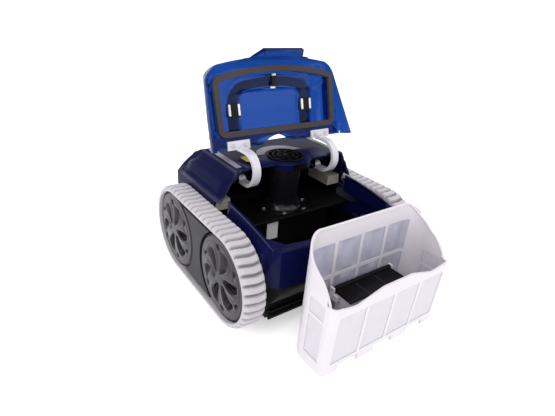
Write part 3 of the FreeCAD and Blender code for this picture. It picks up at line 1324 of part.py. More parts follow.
def handle_clips():
    """Snap prongs beside the handle: at the middle of each leg and of the arch."""
    half = HANDLE_WIDTH / 2
    far = half + GROOVE_CLEARANCE
    near = far - CLIP_THICKNESS
    solids = []
    for side_name, side in SIDES:
        for low, high in ((-far, -near), (near, far)):
            solids.append(side_box(side, HANDLE_HALF + low, HANDLE_HALF + high,
                                   CLIP_Y - CLIP_LENGTH / 2, CLIP_Y + CLIP_LENGTH / 2, 0, 400))
    band = prism(handle_plan(GROOVE_CLEARANCE), "z", 0, 400)
    band = band.cut(prism(handle_plan(GROOVE_CLEARANCE - CLIP_THICKNESS), "z", -1, 401))
    arch = box(-CLIP_LENGTH / 2, CLIP_LENGTH / 2, LID_FRONT, HANDLE_FRONT + HANDLE_WIDTH, 0, 400)
    solids.append(band.common(arch))
    depth = lid_blocks(HANDLE_SINK).cut(lid_blocks(GROOVE_DEPTH))
    clips = [solid.common(depth) for solid in solids]
    return opened(group([piece for clip in clips for piece in clip.Solids]))


# ---------------------------------------------------------------- filter basket
def rounded_plan(half, back, front, back_round, front_round, z):
    """A rectangle about the basket's middle with rounded corners, as a wire at a height."""
    b, f = back_round, front_round
    kb, kf = b * (1 - math.sqrt(0.5)), f * (1 - math.sqrt(0.5))
    outline = wire([
        (half, back - b, half - kb, back - kb),
        (half, front + f),
        (half - f, front, half - kf, front + kf),
        (-half + f, front),
        (-half, front + f, -half + kf, front + kf),
        (-half, back - b),
        (-half + b, back, -half + kb, back - kb),
        (half - b, back),
    ])
    outline.translate(V(BASKET_X, 0, z))
    return outline


def basket_block(grow, z0):
    """The basket's tapering mass, drawn in by a wall thickness."""
    wires = []
    for z in (z0, BASKET_HEIGHT + 1):
        share = z / BASKET_HEIGHT
        half = BASKET_HALF + (BASKET_TOP_HALF - BASKET_HALF) * share - grow
        front = BASKET_FRONT - BASKET_LEAN * share + grow
        wires.append(rounded_plan(half, BASKET_BACK - grow, front, BASKET_BACK_CORNER - grow,
                                  BASKET_FRONT_CORNER - grow, z))
    return Part.makeLoft(wires, True, True)


def rim_cutter():
    """What lies above the rim: high at the back, falling round the corners, and wavy in front."""
    far_front = BASKET_FRONT - BASKET_LEAN - 10
    turn_y = BASKET_BACK - BASKET_BACK_CORNER / 2
    top, wide = BASKET_HEIGHT + 5, BASKET_HALF + 10
    plateau = BASKET_HALF - RIM_PLATEAU_INSET
    foot = BASKET_TOP_HALF - BASKET_BACK_CORNER * 0.1
    left_top, left_foot = (-plateau, BASKET_HEIGHT), (-foot, BASKET_SIDE_HEIGHT)
    right_top, right_foot = (plateau, BASKET_HEIGHT), (foot, BASKET_SIDE_HEIGHT)
    back = prism([
        (-wide, top),
        (-wide, BASKET_SIDE_HEIGHT),
        left_foot,
        bulge(left_foot, left_top, RIM_ROUND),
        right_top,
        bulge(right_top, right_foot, RIM_ROUND),
        (wide, BASKET_SIDE_HEIGHT),
        (wide, top),
    ], "y", turn_y, BASKET_BACK + 5)
    low = BASKET_FRONT_HEIGHT - 4
    corner = low + RIM_CORNER_RISE
    side_mid = (BASKET_BACK - BASKET_DEPTH * 0.55, BASKET_SIDE_HEIGHT - BASKET_SIDE_FALL)
    side_foot = (BASKET_FRONT + 6, corner + 2)
    side = prism([
        (turn_y, top),
        (turn_y, BASKET_SIDE_HEIGHT),
        side_mid,
        bulge(side_mid, side_foot, -RIM_ROUND / 2),
        (side_foot[0], top),
    ], "x", -wide, wide)
    wave = prism([
        (-wide, top),
        (-wide, corner),
        (-BASKET_HALF + 18, corner),
        (-WAVE_X, low, -WAVE_X - 17, low + 2),
        (-WAVE_PLATEAU, RIM_CREST_Z, -WAVE_X + 26, low + 7),
        (WAVE_PLATEAU, RIM_CREST_Z),
        (WAVE_X, low, WAVE_X - 26, low + 7),
        (BASKET_HALF - 18, corner, WAVE_X + 17, low + 2),
        (wide, corner),
        (wide, top),
    ], "y", far_front, BASKET_FRONT + BASKET_FRONT_CORNER)
    cutter = fused([back, side, wave])
    cutter.translate(V(BASKET_X, 0, 0))
    return cutter


def back_windows(grow):
    """Boxes through the back wall, four columns by two rows."""
    boxes = []
    first = BASKET_X - BACK_PITCH * (BACK_COLUMNS - 1) / 2
    half = (BACK_PITCH - BACK_RIB) / 2 + grow
    rows = ((WINDOW_BOTTOM, BACK_WINDOW_RIB_Z - BACK_RIB / 2),
            (BACK_WINDOW_RIB_Z + BACK_RIB / 2, BACK_WINDOW_TOP))
    for column in range(BACK_COLUMNS):
        x = first + column * BACK_PITCH
        for low, high in rows:
            boxes.append(box(x - half, x + half, BASKET_BACK - 8, BASKET_BACK + 5, low - grow, high + grow))
    return boxes


def front_windows(grow):
    boxes = []
    first = BASKET_X - FRONT_PITCH * (FRONT_COLUMNS - 1) / 2
    half = (FRONT_PITCH - FRONT_RIB) / 2 + grow
    for column in range(FRONT_COLUMNS):
        x = first + column * FRONT_PITCH
        boxes.append(box(x - half, x + half, BASKET_FRONT - BASKET_LEAN - 5, BASKET_FRONT + 8,
                         WINDOW_BOTTOM - grow, FRONT_WINDOW_TOP + grow))
    return boxes


def end_windows(side, grow):
    """Boxes through an end wall, one above the other, within the rim's slope."""
    back = BASKET_BACK - BASKET_BACK_CORNER - 2 + grow
    front = BASKET_FRONT + BASKET_FRONT_CORNER + 2 - grow
    rows = ((WINDOW_BOTTOM, END_WINDOW_RIB_Z - 3), (END_WINDOW_RIB_Z + 3, END_WINDOW_TOP))
    boxes = []
    for low, high in rows:
        window = side_box(side, BASKET_HALF - 12, BASKET_HALF + 5, front, back, low - grow, high + grow)
        window.translate(V(BASKET_X, 0, 0))
        boxes.append(window)
    return boxes


def window_groups(grow):
    """The windows of the back, front, left and right walls."""
    return (back_windows(grow), front_windows(grow), end_windows(-1, grow), end_windows(1, grow))


def duct_y():
    return BASKET_BACK - BASKET_DEPTH * DUCT_PLACE


def flap_axis():
    return (duct_y() + DUCT_DEPTH / 2 + FLAP_BARREL + 0.7, DUCT_HEIGHT + SEAT_GAP + FLAP_THICKNESS)


def flap_reach():
    return FLAP_HALF + FLAP_GAP + FLAP_LUG


def basket_frame():
    """The white basket: walls with windows, floor on feet, and the inlet duct with its lugs."""
    shell = basket_block(0, 0).cut(basket_block(BASKET_WALL, FOOT_HEIGHT + BASKET_WALL))
    shell = shell.cut(basket_block(BASKET_WALL, -1).common(
        box(-200, 220, -400, -100, -1, FOOT_HEIGHT)))
    shell = shell.cut(rim_cutter())
    for notch in range(FEET - 1):
        x = BASKET_X + (notch - (FEET - 2) / 2) * FOOT_PITCH
        shell = shell.cut(box(x - FOOT_NOTCH / 2, x + FOOT_NOTCH / 2, -400, -100, -1, FOOT_HEIGHT))
    windows = back_windows(0) + front_windows(0) + end_windows(-1, 0) + end_windows(1, 0)
    shell = shell.cut(windows + [mesh(group_of) for group_of in window_groups(MESH_MARGIN)])
    y0, y1 = duct_y() - DUCT_DEPTH / 2, duct_y() + DUCT_DEPTH / 2
    x0, x1 = BASKET_X - DUCT_HALF, BASKET_X + DUCT_HALF
    duct = box(x0, x1, y0, y1, FOOT_HEIGHT, DUCT_HEIGHT)
    axis_y, axis_z = flap_axis()
    lugs = []
    for side_name, side in SIDES:
        lug = side_box(side, FLAP_HALF + FLAP_GAP, flap_reach(), axis_y - FLAP_BARREL,
                       axis_y + FLAP_BARREL, DUCT_HEIGHT - FLAP_LUG_DEPTH, axis_z + FLAP_BARREL)
        arm = side_box(side, DUCT_HALF - 1, flap_reach(), axis_y - FLAP_LUG_DEPTH,
                       axis_y + FLAP_BARREL, DUCT_HEIGHT - FLAP_LUG_DEPTH, DUCT_HEIGHT - FLAP_LUG)
        for piece in (lug, arm):
            piece.translate(V(BASKET_X, 0, 0))
            lugs.append(piece)
    shell = fused([shell, duct] + lugs)
    w = BASKET_WALL
    shell = shell.cut(box(x0 + w, x1 - w, y0 + w, y1 - w, -1, DUCT_HEIGHT + 1))
    pin_reach = flap_reach() + 1
    shell = shell.cut(Part.makeCylinder(FLAP_PIN_RADIUS + RUNNING_FIT, 2 * pin_reach,
                                        V(BASKET_X - pin_reach, axis_y, axis_z), X_AXIS))
    return shell


def mesh(windows):
    """A thin sheet in the middle of a wall, over its windows and a margin round them."""
    lining = basket_block(MESH_INSET, 0).cut(basket_block(MESH_INSET + MESH_THICKNESS, -1))
    low = min(b.BoundBox.ZMin for b in windows)
    high = max(b.BoundBox.ZMax for b in windows)
    bound = Part.makeCompound(windows).BoundBox
    area = box(bound.XMin, bound.XMax, bound.YMin, bound.YMax, low, high)
    return max(lining.common(area).Solids, key=lambda solid: solid.Volume)


def inlet_flap():
    """The black flap over the duct, in three panels, with a barrel along its rear edge."""
    axis_y, axis_z = flap_axis()
    low = DUCT_HEIGHT + SEAT_GAP
    front = axis_y - FLAP_DEPTH
    plate = box(-FLAP_HALF, FLAP_HALF, front, axis_y, low, low + FLAP_THICKNESS)
    barrel = Part.makeCylinder(FLAP_BARREL, 2 * FLAP_HALF, V(-FLAP_HALF, axis_y, axis_z), X_AXIS)
    flap = fused([plate, barrel])
    for share in (-1, 1):
        x = share * FLAP_HALF / 3
        flap = flap.cut(box(x - 0.8, x + 0.8, front - 1, axis_y - FLAP_BARREL - 2,
                            low + FLAP_THICKNESS - 0.8, low + FLAP_THICKNESS + 1))
    flap = flap.cut(Part.makeCylinder(FLAP_PIN_RADIUS + RUNNING_FIT, 2 * FLAP_HALF + 2,
                                      V(-FLAP_HALF - 1, axis_y, axis_z), X_AXIS))
    flap.translate(V(BASKET_X, 0, 0))
    return flap


def flap_pin():
    axis_y, axis_z = flap_axis()
    reach = flap_reach()
    return Part.makeCylinder(FLAP_PIN_RADIUS, 2 * reach, V(BASKET_X - reach, axis_y, axis_z), X_AXIS)


# ---------------------------------------------------------------- all pieces
def side_nodes(side_name, side):
    """The pieces that are mirrored from one side to the other."""
    nodes = {
        "track": track(side),
        "side_plate": side_plate(side),
        "drive_gear": drive_gear(side),
        "drive_pinion": drive_pinion(side),
        "drive_shaft": drive_shaft(side),
        "drive_motor": drive_motor(side),
        "foam_float": foam_float(side),
        "deck_trim": deck_trim(side),
        "hinge_bracket": hinge_bracket(side),
        "hinge_pin": hinge_pin(side),
        "hinge_arm": hinge_arm(side),
        "mesh": mesh(end_windows(side, MESH_MARGIN)),
    }
    for name, y in AXLES:
        nodes["wheel_" + name] = wheel(side, y)
        nodes["hubcap_" + name] = hubcap(side, y)
    return {name + "_" + side_name: shape for name, shape in nodes.items()}


def all_nodes():
    nodes = {
        "lower_chassis": lower_chassis(),
        "upper_shell": upper_shell(),
        "shell_screws": shell_screws(),
        "wheel_axles": wheel_axles(),
        "cable_gland": cable_gland(),
        "motor_housing": motor_housing(),
        "pump_motor": pump_motor(),
        "flow_tube": flow_tube(),
        "tube_screws": tube_screws(),
        "outlet_grille": outlet_grille(),
        "outlet_trim": outlet_trim(),
        "caution_patch": caution_patch(),
        "rating_label": rating_label(),
        "impeller": impeller(),
        "impeller_shaft": impeller_shaft(),
        "brush_front": brush(-1),
        "brush_rear": brush(1),
        "lid_cover": lid_cover(),
        "lid_gasket": lid_gasket(),
        "hinge_screws": hinge_screws(),
        "carry_handle": carry_handle(),
        "handle_pins": handle_pins(),
        "handle_clips": handle_clips(),
        "basket_frame": basket_frame(),
        "mesh_back": mesh(back_windows(MESH_MARGIN)),
        "mesh_front": mesh(front_windows(MESH_MARGIN)),
        "inlet_flap": inlet_flap(),
        "flap_pin": flap_pin(),
    }
    for side_name, side in SIDES:
        nodes.update(side_nodes(side_name, side))
    return nodes


def main():
    os.makedirs("parts", exist_ok=True)
    for name, shape in all_nodes().items():
        shape.translate(V(0, FRAME_SHIFT, 0))
        shape.exportStep("parts/" + name + ".step")


main()
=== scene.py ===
import math

import bmesh
import bpy
from mathutils import Matrix, Vector


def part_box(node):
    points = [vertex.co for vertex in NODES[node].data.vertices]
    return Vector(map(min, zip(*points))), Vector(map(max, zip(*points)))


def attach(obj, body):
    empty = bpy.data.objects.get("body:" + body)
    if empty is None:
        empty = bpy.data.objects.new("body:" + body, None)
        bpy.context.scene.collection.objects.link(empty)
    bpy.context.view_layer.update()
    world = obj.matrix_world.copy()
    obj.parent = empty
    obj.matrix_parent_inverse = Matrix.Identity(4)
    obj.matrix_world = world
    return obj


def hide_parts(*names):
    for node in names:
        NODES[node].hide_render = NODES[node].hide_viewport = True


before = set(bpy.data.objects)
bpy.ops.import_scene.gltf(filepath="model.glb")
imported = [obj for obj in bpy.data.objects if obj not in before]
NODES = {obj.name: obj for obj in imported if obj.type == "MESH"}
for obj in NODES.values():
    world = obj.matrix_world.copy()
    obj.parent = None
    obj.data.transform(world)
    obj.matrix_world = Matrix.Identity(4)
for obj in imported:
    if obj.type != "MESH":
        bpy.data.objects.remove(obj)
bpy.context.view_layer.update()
SHIFT = 0.0593866              # metres along Y from the frame's origin to the cleaner's middle
SIDES = (("left", -1), ("right", 1))


# ---------------------------------------------------------------- materials
NOISE_LOW, NOISE_HIGH = 0.3, 0.7       # the part of a noise that is spread over a full range
FINE_DETAIL, BROAD_DETAIL, RELIEF_DETAIL = 3, 5, 2
BROAD_ROUGHNESS = 0.6
COAT_ROUGHNESS = 0.08
SPECK_GAIN = 1.9                       # how much brighter a fine speck is than its ground
EDGE_START, EDGE_FULL = 0.54, 0.66     # pointiness where the painted edge highlight starts and where it is whole
EDGE_PALING = 0.35
BUMP_DEPTH = 0.0004
SCATTER_REACH = 0.004
THREAD_WANDER = 0.6


def material(name, colour, rough, speck=0.06, speck_scale=900.0, rough_vary=0.08,
             bump=0.02, bump_scale=1500.0, mottle=0.05, mottle_scale=18.0, edge_highlight=0.0,
             metallic=0.0, coat=0.0, specular=0.5, transmission=0.0, ior=1.46, alpha=1.0,
             sheen=0.0, subsurface=0.0, lining=None, weave=0.0, weave_gap=0.8, painted_shade=None, glow=0.0):
    """A moulded surface: fine grain, broad mottling and a painted highlight on its edges, all from nodes.

    Lining blackens what its mask picks out, weave is the pitch of a mesh's threads, and the last colour
    is painted shade, which a shade attribute of the mesh mixes in, in grooves and hollows.
    """
    made = bpy.data.materials.new(name)
    made.use_nodes = True
    tree = made.node_tree
    shader = tree.nodes["Principled BSDF"]
    link = tree.links.new

    def node(kind, **values):
        new = tree.nodes.new(kind)
        for key, value in values.items():
            setattr(new, key, value)
        return new

    place = node("ShaderNodeTexCoord").outputs["Object"]
    fine = node("ShaderNodeTexNoise")
    fine.inputs["Scale"].default_value = speck_scale
    fine.inputs["Detail"].default_value = FINE_DETAIL
    link(place, fine.inputs["Vector"])
    broad = node("ShaderNodeTexNoise")
    broad.inputs["Scale"].default_value = mottle_scale
    broad.inputs["Detail"].default_value = BROAD_DETAIL
    broad.inputs["Roughness"].default_value = BROAD_ROUGHNESS
    link(place, broad.inputs["Vector"])

    def shade(factor):
        return tuple(min(1.0, max(0.0, part * factor)) for part in colour) + (1.0,)

    def spread(source, low, high):
        ramp = node("ShaderNodeMapRange")
        ramp.inputs["From Min"].default_value = NOISE_LOW
        ramp.inputs["From Max"].default_value = NOISE_HIGH
        ramp.inputs["To Min"].default_value = low
        ramp.inputs["To Max"].default_value = high
        link(source, ramp.inputs["Value"])
        return ramp.outputs["Result"]

    def mixed(factor, first, second):
        mix = node("ShaderNodeMix", data_type="RGBA")
        for value, socket in ((first, mix.inputs[6]), (second, mix.inputs[7])):
            if isinstance(value, tuple):
                socket.default_value = value
            else:
                link(value, socket)
        link(factor, mix.inputs[0])
        return mix.outputs[2]

    colours = mixed(spread(broad.outputs["Fac"], 0, 1), shade(1 - mottle), shade(1 + mottle))
    grain = mixed(spread(fine.outputs["Fac"], 0, speck), colours, shade(SPECK_GAIN))
    # painted highlight: edges that pointiness picks out are paled towards white
    if edge_highlight:
        edges = node("ShaderNodeMapRange")
        edges.inputs["From Min"].default_value = EDGE_START
        edges.inputs["From Max"].default_value = EDGE_FULL
        edges.inputs["To Max"].default_value = edge_highlight
        link(node("ShaderNodeNewGeometry").outputs["Pointiness"], edges.inputs["Value"])
        pale = tuple(part + (1 - part) * EDGE_PALING for part in colour) + (1.0,)
        grain = mixed(edges.outputs["Result"], grain, pale)
    if lining:
        grain = mixed(lining(node, link, place), grain, LINING_BLACK + (1.0,))
    if weave:
        grain = mixed(threads(node, link, place, weave), shade(weave_gap), grain)
    # painted shade: the mesh's shade attribute mixes a darker colour into grooves and hollows
    if painted_shade:
        hollow = node("ShaderNodeAttribute", attribute_name="painted_shade").outputs["Fac"]
        grain = mixed(hollow, grain, painted_shade + (1.0,))
    link(grain, shader.inputs["Base Color"])
    if glow:
        shader.inputs["Emission Color"].default_value = (1.0, 1.0, 1.0, 1.0)
        shader.inputs["Emission Strength"].default_value = glow
    roughness = spread(broad.outputs["Fac"], rough - rough_vary / 2, rough + rough_vary / 2)
    link(roughness, shader.inputs["Roughness"])
    if bump:
        relief = node("ShaderNodeTexNoise")
        relief.inputs["Scale"].default_value = bump_scale
        relief.inputs["Detail"].default_value = RELIEF_DETAIL
        link(place, relief.inputs["Vector"])
        raised = node("ShaderNodeBump")
        raised.inputs["Strength"].default_value = bump
        raised.inputs["Distance"].default_value = BUMP_DEPTH
        link(relief.outputs["Fac"], raised.inputs["Height"])
        link(raised.outputs["Normal"], shader.inputs["Normal"])
    shader.inputs["Metallic"].default_value = metallic
    shader.inputs["Specular IOR Level"].default_value = specular
    shader.inputs["Coat Weight"].default_value = coat
    shader.inputs["Coat Roughness"].default_value = COAT_ROUGHNESS
    shader.inputs["Transmission Weight"].default_value = transmission
    shader.inputs["IOR"].default_value = ior
    shader.inputs["Alpha"].default_value = alpha
    shader.inputs["Subsurface Weight"].default_value = subsurface
    shader.inputs["Subsurface Scale"].default_value = SCATTER_REACH
    shader.inputs["Sheen Weight"].default_value = sheen
    return made


def arithmetic(node, link, operation, *values):
    """A Math node on sockets and numbers."""
    made = node("ShaderNodeMath", operation=operation)
    for slot_at, value in enumerate(values):
        if isinstance(value, (int, float)):
            made.inputs[slot_at].default_value = value
        else:
            link(value, made.inputs[slot_at])
    return made.outputs[0]


# Where the casing's inner faces lie, in metres: half widths, and limits along Y and up.
BAY_HALF, BAY_REAR = 0.1458, -0.036
DECK_UNDER_HALF, DECK_UNDER_TOP = 0.116, 0.2365
REAR_HALF, REAR_START, REAR_TOP = 0.1603, 0.0165, 0.1835
ROOF_HALF, ROOF_START, ROOF_TOP = 0.118, -0.0125, 0.2462
FRONT_BOW, FRONT_INNER = 0.474, -0.1738
CORNER_CUT = 0.2885


def casing_inside(node, link, place):
    """1 on the casing's inner faces round the bay, which the material blackens, and 0 on its glossy
    outside.
    """
    def math_of(operation, *values):
        return arithmetic(node, link, operation, *values)

    parts = node("ShaderNodeSeparateXYZ")
    link(place, parts.inputs[0])
    across = math_of("ABSOLUTE", parts.outputs[0])
    along = math_of("SUBTRACT", parts.outputs[1], SHIFT)
    up = parts.outputs[2]

    def both(*tests):
        result = tests[0]
        for test in tests[1:]:
            result = math_of("MULTIPLY", result, test)
        return result

    def less(value, limit):
        return math_of("LESS_THAN", value, limit)

    def more(value, limit):
        return math_of("GREATER_THAN", value, limit)

    bow = math_of("MULTIPLY", math_of("MULTIPLY", across, across), FRONT_BOW)
    behind_front = more(math_of("SUBTRACT", along, bow), FRONT_INNER)
    in_corner = less(math_of("SUBTRACT", across, along), CORNER_CUT)
    bay = both(less(across, BAY_HALF), less(along, BAY_REAR))
    under = both(less(across, DECK_UNDER_HALF), less(up, DECK_UNDER_TOP))
    rear = both(less(across, REAR_HALF), more(along, REAR_START), less(up, REAR_TOP))
    roof = both(more(along, ROOF_START), less(up, ROOF_TOP), less(across, ROOF_HALF))
    inside = math_of("MAXIMUM", math_of("MAXIMUM", bay, under), math_of("MAXIMUM", rear, roof))
    return both(inside, behind_front, in_corner)


def threads(node, link, place, pitch):
    """A fine square weave: 1 on the threads and less between them."""
    waves = []
    for direction in ("X", "Y", "Z"):
        wave = node("ShaderNodeTexWave", wave_type="BANDS", bands_direction=direction)
        wave.inputs["Scale"].default_value = 1 / pitch
        wave.inputs["Distortion"].default_value = THREAD_WANDER
        link(place, wave.inputs["Vector"])
        waves.append(wave.outputs["Fac"])
    level = arithmetic(node, link, "MAXIMUM", waves[0], waves[1])
    return arithmetic(node, link, "MAXIMUM", level, waves[2])


def rgb(red, green, blue):
    """Linear colour of a display colour given in 0..255."""
    def linear(part):
        part /= 255
        return part / 12.92 if part <= 0.04045 else ((part + 0.055) / 1.055) ** 2.4
    return linear(red), linear(green), linear(blue)


LINING_BLACK = rgb(9, 9, 11)
WEAVE_PITCH = 0.0012
# The edge paling on the navy, black and disc materials below is a painted highlight on their edges.
NAVY = material("navy_gloss", rgb(11, 14, 56), rough=0.16, speck=0.02, bump=0.01, specular=0.03,
                edge_highlight=0.3, mottle=0.05, lining=casing_inside)
BLACK = material("black_moulding", rgb(11, 10, 12), rough=0.4, bump=0.05, edge_highlight=0.15, specular=0.06)
MOTOR_BLACK = material("motor_black", rgb(9, 9, 11), rough=0.5, bump=0.12, bump_scale=700.0, specular=0.12)
TUBE_BLACK = material("tube_black", rgb(17, 16, 19), rough=0.22, bump=0.0, coat=0.15, specular=0.3)
# The disc's darker second colour is painted shade in its hollows and slots.
GREY_DISC = material("disc_grey", rgb(38, 34, 39), rough=0.22, bump=0.03, coat=0.1, edge_highlight=0.35,
                     specular=0.16, painted_shade=rgb(12, 11, 14))
PLATE_GREY = material("plate_grey", rgb(38, 36, 41), rough=0.46, bump=0.08, specular=0.2)
WHEEL_DARK = material("wheel_dark", rgb(14, 13, 16), rough=0.55, specular=0.15)
# The belt's darker second colour is painted shade in its grooves.
BELT = material("belt_rubber", rgb(184, 181, 186), rough=0.68, bump=0.2, bump_scale=900.0,
                mottle=0.05, speck=0.03, specular=0.15, painted_shade=rgb(128, 125, 131))
WHITE = material("white_moulding", rgb(208, 206, 214), rough=0.3, coat=0.15, subsurface=0.05,
                 speck=0.0, mottle=0.02)
# White of the bars that paint the light seen through the slots in the lid.
SLOT_LIGHT_WHITE = material("slot_light_white", rgb(238, 238, 242), rough=0.3, speck=0.0, mottle=0.02)
BASKET = material("basket_white", rgb(212, 207, 214), rough=0.34, subsurface=0.06, mottle=0.02,
                  speck=0.0, bump=0.03, specular=0.3)
# Two copies of one filter mesh: the back sheet, seen from inside the basket, gets a darker bluish colour
# as painted shade, and the front and end sheets get a paler one as painted light.
FILTER = material("filter_mesh", rgb(186, 186, 204), rough=0.6, alpha=0.86, mottle=0.08, mottle_scale=40.0,
                  speck=0.03, sheen=0.2, weave=WEAVE_PITCH, specular=0.3)
FILTER_LIT = material("filter_mesh_lit", rgb(206, 202, 210), rough=0.7, alpha=0.95, mottle=0.03,
                       mottle_scale=40.0, speck=0.03, sheen=0.2, weave=WEAVE_PITCH, weave_gap=0.94,
                       specular=0.2)
GASKET = material("gasket_rubber", rgb(66, 60, 60), rough=0.75, bump=0.25, bump_scale=500.0, specular=0.15)
LID = material("lid_blue", rgb(26, 68, 148), rough=0.1, rough_vary=0.02, speck=0.0, bump=0.0,
               mottle=0.03, transmission=0.86, ior=1.2, coat=0.15, specular=0.4)
HANDLE = material("handle_navy", rgb(3, 5, 26), rough=0.34, coat=0.05, specular=0.15)
STEEL = material("bright_steel", rgb(196, 196, 200), rough=0.24, metallic=1.0)
# Grey of the outlet's trim. On the deck trims the same grey is a painted reflection along the deck's edge
# chamfer.
TRIM_AND_REFLECTION = material("trim_grey", rgb(138, 136, 150), rough=0.4, mottle=0.06)
YELLOW = material("yellow_patch", rgb(214, 186, 44), rough=0.4)
LABEL = material("white_label", rgb(240, 239, 241), rough=0.4)
BRUSH = material("brush_rubber", rgb(20, 20, 22), rough=0.6, bump=0.2, specular=0.15)
GEAR = material("gear_plastic", rgb(200, 196, 184), rough=0.4)
FOAM = material("foam_white", rgb(158, 153, 141), rough=0.9, bump=0.6, bump_scale=350.0,
                speck=0.2, speck_scale=500.0, specular=0.1)

FINISH = {
    "lower_chassis": BLACK, "upper_shell": NAVY, "shell_screws": STEEL, "wheel_axles": STEEL,
    "cable_gland": BLACK, "motor_housing": MOTOR_BLACK, "pump_motor": MOTOR_BLACK,
    "flow_tube": TUBE_BLACK, "tube_screws": STEEL, "outlet_grille": BLACK,
    "outlet_trim": TRIM_AND_REFLECTION, "caution_patch": YELLOW, "rating_label": LABEL, "impeller": BLACK,
    "impeller_shaft": STEEL, "brush_front": BRUSH, "brush_rear": BRUSH, "lid_cover": LID,
    "lid_gasket": GASKET, "hinge_screws": STEEL, "carry_handle": HANDLE, "handle_pins": STEEL,
    "handle_clips": HANDLE, "basket_frame": BASKET, "mesh_back": FILTER, "mesh_front": FILTER_LIT,
    "inlet_flap": BLACK, "flap_pin": STEEL,
}
for end in ("left", "right"):
    FINISH.update({
        "track_" + end: BELT, "side_plate_" + end: PLATE_GREY, "drive_gear_" + end: GEAR,
        "drive_pinion_" + end: GEAR, "drive_shaft_" + end: STEEL,
        "drive_motor_" + end: MOTOR_BLACK, "foam_float_" + end: FOAM,
        # the deck trims' grey is a painted reflection along the deck's edge chamfer
        "deck_trim_" + end: TRIM_AND_REFLECTION, "hinge_bracket_" + end: NAVY, "hinge_pin_" + end: STEEL,
        "hinge_arm_" + end: WHITE, "mesh_" + end: FILTER_LIT,
        "wheel_front_" + end: WHEEL_DARK, "wheel_rear_" + end: WHEEL_DARK,
        "hubcap_front_" + end: GREY_DISC, "hubcap_rear_" + end: GREY_DISC,
    })


# ---------------------------------------------------------------- CAD nodes that stay in view
EDGE_ROUND = 0.0006
EDGE_STEPS = 2
WELD_REACH = 0.00001
FLAT_ANGLE, EDGE_ANGLE = 0.6, 35
KEEP_EDGES = ("lid_cover",)            # thin skirts that a bevel would pull out of shape


def dress(name):
    """Give a CAD node its finish, and round its edges by a modifier."""
    solid = NODES[name]
    solid.data.materials.clear()
    solid.data.materials.append(FINISH[name])
    weld = solid.modifiers.new("weld", "WELD")
    weld.merge_threshold = WELD_REACH
    if name not in KEEP_EDGES:
        flat = solid.modifiers.new("flat", "DECIMATE")
        flat.decimate_type = "DISSOLVE"
        flat.angle_limit = math.radians(FLAT_ANGLE)
        edge = solid.modifiers.new("edge", "BEVEL")
        edge.width = EDGE_ROUND
        edge.segments = EDGE_STEPS
        edge.limit_method = "ANGLE"
        edge.angle_limit = math.radians(EDGE_ANGLE)
        edge.use_clamp_overlap = True
    for face in solid.data.polygons:
        face.use_smooth = True
    smooth = solid.modifiers.new("smooth", "WEIGHTED_NORMAL")
    smooth.keep_sharp = True


for name in NODES:
    dress(name)


# ---------------------------------------------------------------- mesh helpers
POINT_MERGE = 0.000005


def robot(x, y, z):
    """A point given in millimetres from the floor midway between the wheels."""
    return Vector((x, y, z)) / 1000 + Vector((0, SHIFT, 0))


def piece(name, points, faces, finish, body, stands_for=(), slot=None, sharp=40, painted_shade=()):
    """A mesh object on a CAD body, smooth but for its sharp edges."""
    mesh = bpy.data.meshes.new(name)
    mesh.from_pydata([tuple(p) for p in points], [], faces)
    if painted_shade:
        mesh.attributes.new("painted_shade", "FLOAT", "POINT").data.foreach_set("value", painted_shade)
    mesh.validate()
    made = bmesh.new()
    made.from_mesh(mesh)
    bmesh.ops.remove_doubles(made, verts=made.verts, dist=POINT_MERGE)
    bmesh.ops.recalc_face_normals(made, faces=made.faces)
    for face in made.faces:
        face.smooth = True
    for edge in made.edges:
        if len(edge.link_faces) == 2 and edge.calc_face_angle(0) > math.radians(sharp):
            edge.smooth = False
    made.to_mesh(mesh)
    made.free()
    mesh.materials.append(finish)
    thing = bpy.data.objects.new(name, mesh)
    bpy.context.scene.collection.objects.link(thing)
    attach(thing, body)
    if stands_for:
        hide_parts(*stands_for)
    return thing


def lattice(rows, wrap_rows=False, wrap_columns=False):
    """Points and quads of a grid given as rows of points."""
    count = len(rows[0])
    points = [point for row in rows for point in row]
    faces = []
    for i in range(len(rows) if wrap_rows else len(rows) - 1):
        for j in range(count if wrap_columns else count - 1):
            a, b = i * count, (i + 1) % len(rows) * count
            k = (j + 1) % count
            faces.append((a + j, a + k, b + k, b + j))
    return points, faces


def capped(rows):
    """Points and faces of closed outlines joined into a bar, with its two ends shut."""
    points, faces = lattice(rows, wrap_columns=True)
    count = len(rows[0])
    faces += [tuple(range(count)), tuple((len(rows) - 1) * count + k for k in range(count))]
    return points, faces


def oval(out_radius, up_radius, inset, step):
    """An oval outline of (out, up) offsets about a middle that lies inwards by the inset."""
    return [(out_radius * math.cos(math.radians(a)) - inset, up_radius * math.sin(math.radians(a)))
            for a in range(0, 360, step)]


def sweep(name, path, outline, finish, body, closed=False, **kind):
    """A closed outline of (out, up) offsets carried along a path of (point, outward) pairs."""
    rows = [[point + outward * (out / 1000) + Vector((0, 0, up / 1000)) for out, up in outline]
            for point, outward in path]
    points, faces = lattice(rows, wrap_rows=True, wrap_columns=True) if closed else capped(rows)
    piece(name, points, faces, finish, body, **kind)


def ease(value, low, high):
    """0 below low, 1 above high and a smooth step between."""
    share = min(1.0, max(0.0, (value - low) / (high - low)))
    return share * share * (3 - 2 * share)


